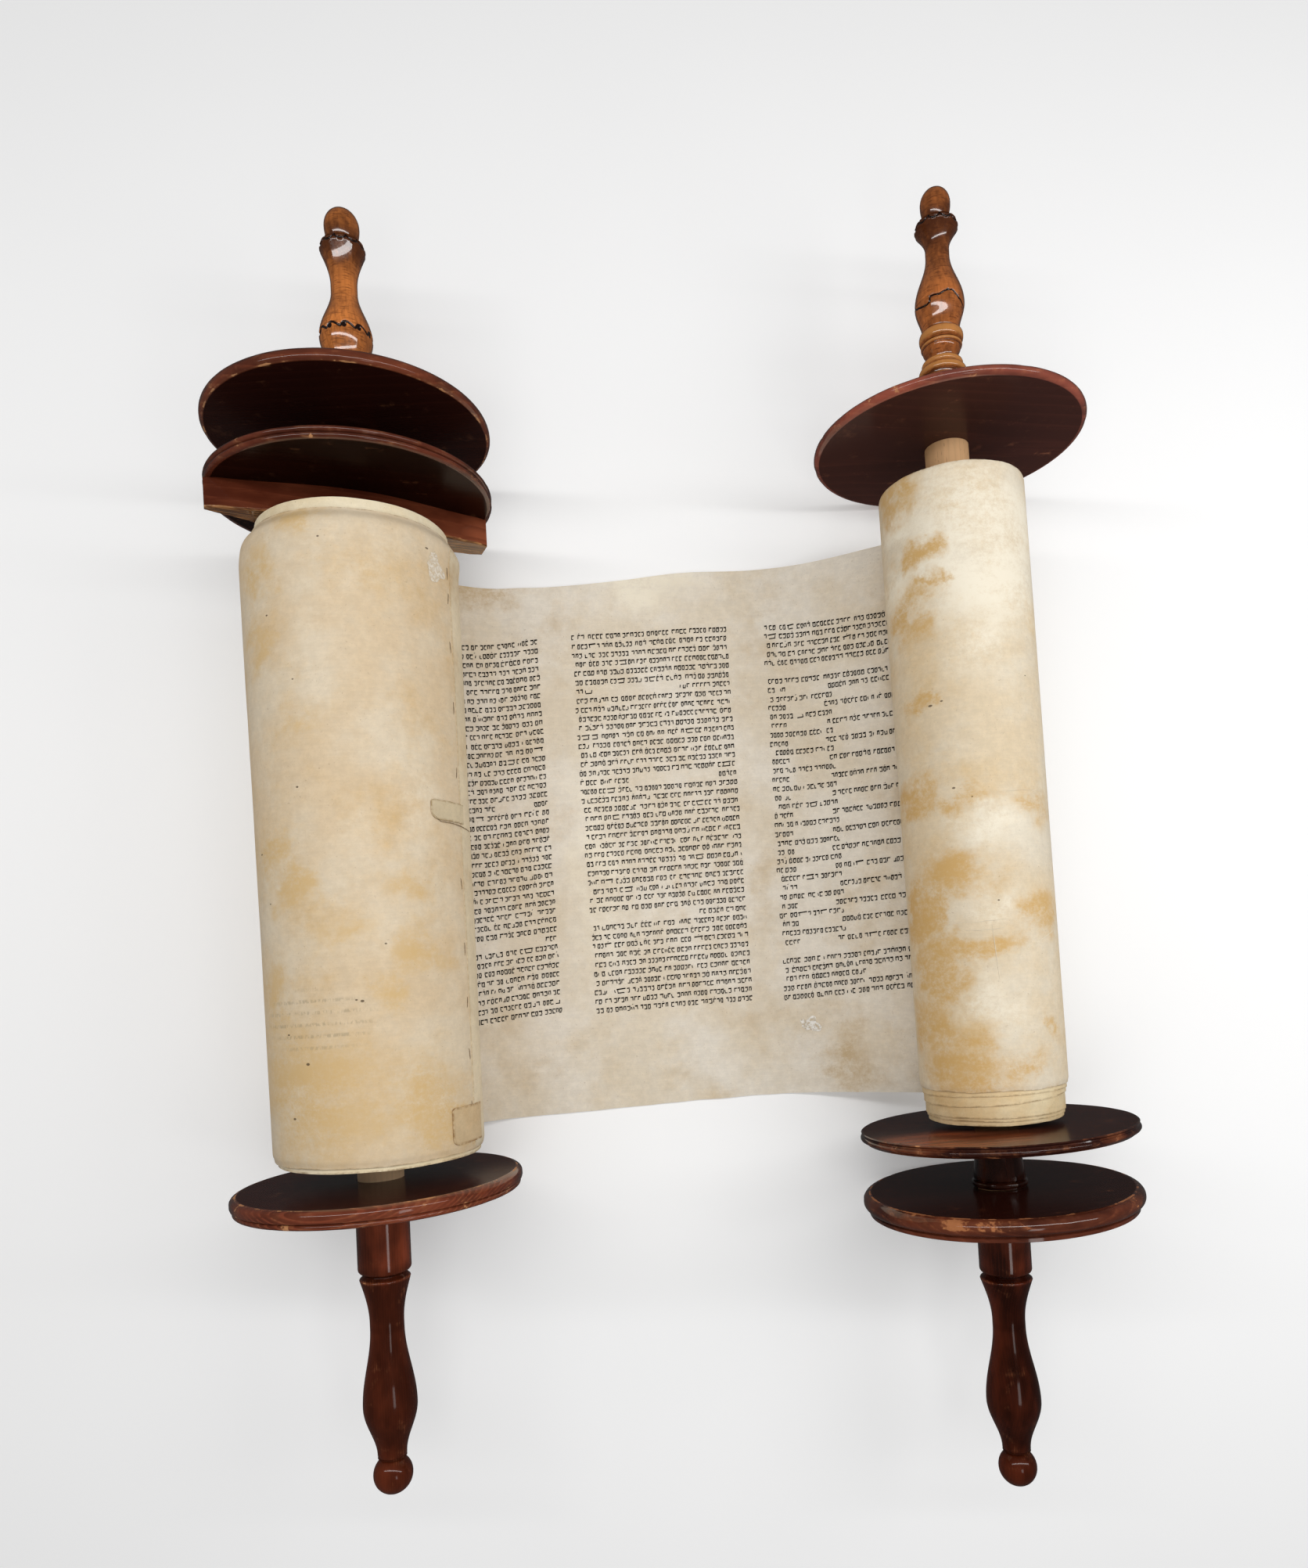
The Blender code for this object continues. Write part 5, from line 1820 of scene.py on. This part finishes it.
# Of each hide: its pale, cream and ochre tones.
LEFT_TONES = (colour(0.76, 0.64, 0.47), colour(0.725, 0.565, 0.37), colour(0.68, 0.46, 0.21))
RIGHT_TONES = (colour(0.80, 0.71, 0.56), colour(0.765, 0.625, 0.43), colour(0.74, 0.53, 0.27))
SHEET_TONES = (colour(0.84, 0.77, 0.66), colour(0.78, 0.68, 0.53), colour(0.64, 0.50, 0.32))
CORE_TONES = (colour(0.84, 0.70, 0.45), colour(0.78, 0.57, 0.30), colour(0.62, 0.39, 0.14))
LEFT_CORE_TONES = (colour(0.92, 0.81, 0.60), colour(0.87, 0.73, 0.48), colour(0.72, 0.50, 0.25))

# Each stain or bleached place: its middle, how far it reaches along X, Y and Z, and its strength.
# Each speck: its middle and its size.
LEFT_STAINS = (
    ((-0.270, 0.230, 0.185), (0.032, 0.022, 0.06), 1.0),
    ((-0.303, 0.197, 0.164), (0.022, 0.026, 0.06), 0.8),
    ((-0.305, 0.150, 0.162), (0.020, 0.050, 0.06), 0.8),
    ((-0.278, 0.084, 0.182), (0.035, 0.026, 0.06), 0.6),
    ((-0.296, -0.004, 0.171), (0.030, 0.030, 0.06), 0.9),
    ((-0.280, -0.034, 0.180), (0.040, 0.030, 0.06), 0.9),
    ((-0.302, -0.113, 0.166), (0.030, 0.060, 0.06), 0.9),
    ((-0.202, -0.036, 0.175), (0.030, 0.028, 0.06), 0.7),
    ((-0.194, -0.082, 0.169), (0.026, 0.040, 0.06), 0.8),
    ((-0.246, -0.063, 0.188), (0.034, 0.016, 0.06), 0.6),
    ((-0.214, -0.106, 0.182), (0.034, 0.024, 0.06), 0.7),
    ((-0.281, -0.180, 0.180), (0.110, 0.090, 0.10), 0.95),
    ((-0.194, -0.190, 0.169), (0.060, 0.060, 0.08), 0.85),
    ((-0.184, -0.214, 0.160), (0.034, 0.026, 0.06), 1.5),
)
LEFT_BLEACHED = (
    ((-0.255, 0.160, 0.187), (0.050, 0.060, 0.06), 0.30),
    ((-0.215, 0.200, 0.185), (0.050, 0.050, 0.06), 0.35),
    ((-0.230, 0.010, 0.187), (0.040, 0.050, 0.06), 0.35),
    ((-0.225, -0.060, 0.187), (0.060, 0.035, 0.06), 0.35),
    ((-0.190, 0.030, 0.165), (0.030, 0.070, 0.06), 0.45),
)
LEFT_SPECKS = (
    ((-0.275, 0.039, 0.183), 0.0012), ((-0.310, -0.005, 0.157), 0.0010), ((-0.303, -0.042, 0.165), 0.0008),
    ((-0.218, -0.075, 0.183), 0.0010), ((-0.291, -0.137, 0.174), 0.0011), ((-0.276, -0.158, 0.182), 0.0017),
    ((-0.289, -0.197, 0.176), 0.0014), ((-0.294, 0.165, 0.172), 0.0011), ((-0.252, 0.216, 0.188), 0.0011),
    ((-0.275, 0.116, 0.183), 0.0009), ((-0.182, 0.220, 0.156), 0.0011), ((-0.168, -0.049, 0.147), 0.0011),
    ((-0.235, -0.115, 0.188), 0.0016), ((-0.239, -0.114, 0.188), 0.0011),
)
RIGHT_STAINS = (
    ((0.184, 0.264, 0.134), (0.022, 0.030, 0.05), 1.1),
    ((0.194, 0.216, 0.146), (0.024, 0.018, 0.05), 1.1),
    ((0.195, 0.189, 0.148), (0.012, 0.014, 0.04), 0.9),
    ((0.187, 0.168, 0.138), (0.022, 0.040, 0.05), 1.0),
    ((0.196, 0.089, 0.146), (0.018, 0.012, 0.04), 1.2),
    ((0.215, 0.020, 0.150), (0.045, 0.013, 0.05), 0.9),
    ((0.186, 0.018, 0.129), (0.022, 0.024, 0.05), 1.4),
    ((0.268, 0.008, 0.160), (0.045, 0.018, 0.05), 0.8),
    ((0.208, -0.040, 0.155), (0.050, 0.032, 0.05), 1.0),
    ((0.188, -0.068, 0.130), (0.022, 0.040, 0.05), 1.5),
    ((0.270, -0.075, 0.159), (0.040, 0.026, 0.05), 1.0),
    ((0.220, -0.094, 0.160), (0.060, 0.016, 0.05), 1.1),
    ((0.196, -0.118, 0.141), (0.030, 0.040, 0.05), 1.3),
    ((0.190, -0.160, 0.132), (0.026, 0.040, 0.05), 1.1),
    ((0.205, -0.192, 0.150), (0.055, 0.045, 0.05), 1.3),
    ((0.277, -0.162, 0.156), (0.014, 0.022, 0.05), 0.9),
    ((0.250, -0.188, 0.166), (0.030, 0.020, 0.05), 0.8),
    ((0.268, -0.212, 0.163), (0.026, 0.012, 0.05), 1.1),
)
RIGHT_BLEACHED = (
    ((0.245, 0.215, 0.166), (0.110, 0.100, 0.08), 1.3),
    ((0.183, 0.240, 0.132), (0.020, 0.020, 0.05), 1.0),
    ((0.182, 0.190, 0.126), (0.020, 0.030, 0.05), 1.1),
    ((0.235, 0.140, 0.166), (0.060, 0.060, 0.08), 0.7),
    ((0.232, -0.001, 0.166), (0.055, 0.030, 0.05), 0.75),
    ((0.236, -0.064, 0.166), (0.040, 0.022, 0.05), 0.80),
    ((0.228, -0.145, 0.164), (0.045, 0.050, 0.05), 0.70),
)
RIGHT_SPECKS = (
    ((0.209, 0.025, 0.156), 0.0013), ((0.221, 0.017, 0.162), 0.0008), ((0.236, -0.063, 0.166), 0.0010),
    ((0.197, 0.091, 0.147), 0.0015), ((0.204, 0.093, 0.153), 0.0011), ((0.270, 0.110, 0.158), 0.0008),
)
SHEET_STAINS = (
    ((-0.159, 0.245, 0.02), (0.050, 0.030, 0.06), 1.2),
    ((-0.160, 0.060, 0.02), (0.035, 0.160, 0.06), 0.45),
    ((0.018, 0.230, 0.01), (0.060, 0.034, 0.04), 0.34),
    ((0.085, 0.262, 0.01), (0.040, 0.012, 0.04), 0.30),
    ((0.150, -0.190, 0.01), (0.040, 0.060, 0.05), 0.9),
    ((0.150, 0.230, 0.02), (0.040, 0.060, 0.05), 0.30),
)
SHEET_BLEACHED = (
    ((-0.010, 0.245, 0.01), (0.070, 0.040, 0.04), 1.1),
    ((-0.070, 0.0, 0.01), (0.040, 0.200, 0.04), 0.8),
)
OCHRE_STAIN = colour(0.66, 0.42, 0.16)

LEFT_PARCHMENT = aged_parchment(
    "left_roll_parchment", LEFT_TONES, LEFT_STAINS, colour(0.68, 0.47, 0.22), LEFT_BLEACHED, LEFT_SPECKS,
    ((-0.272, -0.128, 0.183), (0.060, 0.030, 0.06), 0.42),
)
RIGHT_PARCHMENT = aged_parchment(
    "right_roll_parchment", RIGHT_TONES, RIGHT_STAINS, OCHRE_STAIN, RIGHT_BLEACHED, RIGHT_SPECKS,
)
SHEET_PARCHMENT = aged_parchment(
    "open_sheet_parchment", SHEET_TONES, SHEET_STAINS, colour(0.58, 0.43, 0.25), SHEET_BLEACHED,
)
CORE_PARCHMENT = aged_parchment("inner_turns_parchment", CORE_TONES, (), OCHRE_STAIN, edge_dirt=0.75)
LEFT_CORE_PARCHMENT = aged_parchment(
    "left_inner_turns_parchment", LEFT_CORE_TONES, (), OCHRE_STAIN, edge_dirt=0.75,
)
LAP_PARCHMENT = patch_parchment(
    "seam_lap_parchment", colour(0.82, 0.70, 0.50), colour(0.44, 0.28, 0.12), 0.45,
)
PATCH_PARCHMENT = patch_parchment(
    "strap_patch_parchment", colour(0.74, 0.62, 0.42), colour(0.34, 0.23, 0.11), 0.95,
)
FOOT_PARCHMENT = patch_parchment(
    "foot_patch_parchment", colour(0.72, 0.54, 0.32), colour(0.32, 0.17, 0.06), 1.0,
)
CREASE_PARCHMENT = patch_parchment(
    "crease_parchment", colour(0.90, 0.80, 0.62), colour(0.80, 0.66, 0.44), 0.0,
)
INK = mingled_finish(
    "iron_gall_ink", 0.85, 0.05, (70.0, 4.0), (0.35, 0.70),
    colour(0.006, 0.004, 0.003), colour(0.018, 0.011, 0.007),
)
SINEW = mingled_finish(
    "sinew_thread", 0.6, 0.3, (400.0, 3.0), (0.35, 0.65),
    colour(0.11, 0.065, 0.030), colour(0.34, 0.23, 0.12),
)
PASTE = mingled_finish(
    "repair_paste", 0.8, 0.2, (420.0, 5.0, 0.7), (0.42, 0.60),
    colour(0.95, 0.92, 0.86), colour(0.62, 0.52, 0.38), 0.6,
)
WORN_PASTE = mingled_finish(
    "worn_repair_paste", 0.8, 0.2, (420.0, 5.0, 0.7), (0.42, 0.60),
    colour(0.84, 0.76, 0.64), colour(0.70, 0.57, 0.40), 0.6,
)


# ---------------------------------------------------------------- studio

def build_floor():
    floor = start("floor", bpy.ops.mesh.primitive_plane_add, size=8.0)
    settle(floor, (0.0, 0.0, CAD_BOX[0].z - 0.0001))
    material, tree, shader = new_material("pale_floor", 0.9, 0.1)
    share = cloudy(tree, object_position(tree), 2.0)
    pale = mix_colours(tree, share, colour(0.86, 0.86, 0.86), colour(0.90, 0.90, 0.90))
    paint(tree, shader, pale)
    shader.inputs["Emission Color"].default_value = colour(1.0, 1.0, 1.0)
    shader.inputs["Emission Strength"].default_value = 0.16
    floor.data.materials.append(material)
    floor.visible_glossy = False


def build_soft_light():
    world = bpy.data.worlds.new("soft_studio")
    bpy.context.scene.world = world
    world.use_nodes = True
    tree = world.node_tree
    background = tree.nodes["Background"]
    background.inputs["Color"].default_value = colour(1.0, 1.0, 1.0)
    glossy = add_node(tree, "LightPath").outputs["Is Glossy Ray"]
    tree.links.new(step_between(tree, glossy, 0.0, 1.0, 0.32, 0.06), background.inputs["Strength"])


def add_panel(name, place, turn, size, power, reflected=True):
    bpy.ops.object.select_all(action="DESELECT")
    bpy.ops.object.light_add(type="AREA", location=place)
    panel = bpy.context.object
    panel.name = name
    panel.data.shape = "RECTANGLE"
    panel.data.size, panel.data.size_y = size
    panel.data.energy = power
    panel.rotation_euler = [math.radians(angle) for angle in turn]
    panel.visible_glossy = reflected


def set_camera():
    lens = bpy.data.cameras.new("view_from_above")
    camera = bpy.data.objects.new("view_from_above", lens)
    bpy.context.scene.collection.objects.link(camera)
    camera.location = (-0.05064, -0.10219, 0.92356)
    camera.rotation_euler = Euler([math.radians(angle) for angle in (1.4889, -3.6785, -2.797)])
    lens.sensor_width = 36.0
    lens.lens = 23.462
    lens.shift_x = -0.0220
    lens.shift_y = 0.1018
    lens.clip_start = 0.02
    bpy.context.scene.camera = camera


build_floor()
build_soft_light()
add_panel("key_panel", (0.20, 0.32, 1.28), (-14.0, 0.0, -5.0), (3.60, 0.12), 13.4)
add_panel("fill_panel", (-0.20, -0.46, 1.30), (18.0, 0.0, -10.0), (0.60, 0.60), 2.2, False)
add_panel("side_panel", (1.15, 0.10, 0.95), (0.0, 52.0, 0.0), (0.70, 0.90), 3.4, False)
add_panel("foot_window", (0.35, -0.60, 1.15), (20.0, 12.0, 0.0), (0.20, 0.34), 0.58)
set_camera()
bpy.context.scene.view_settings.view_transform = "Standard"

build_discs()
build_rods()
build_spools()
build_batten()
build_finials()
build_lower_handles()
build_left_core()
build_left_turn()
build_right_core()
build_right_turn()
build_open_sheet()
build_inscription()
build_stitches()
build_seam_and_patches()
build_creases()
build_flaking_repairs()
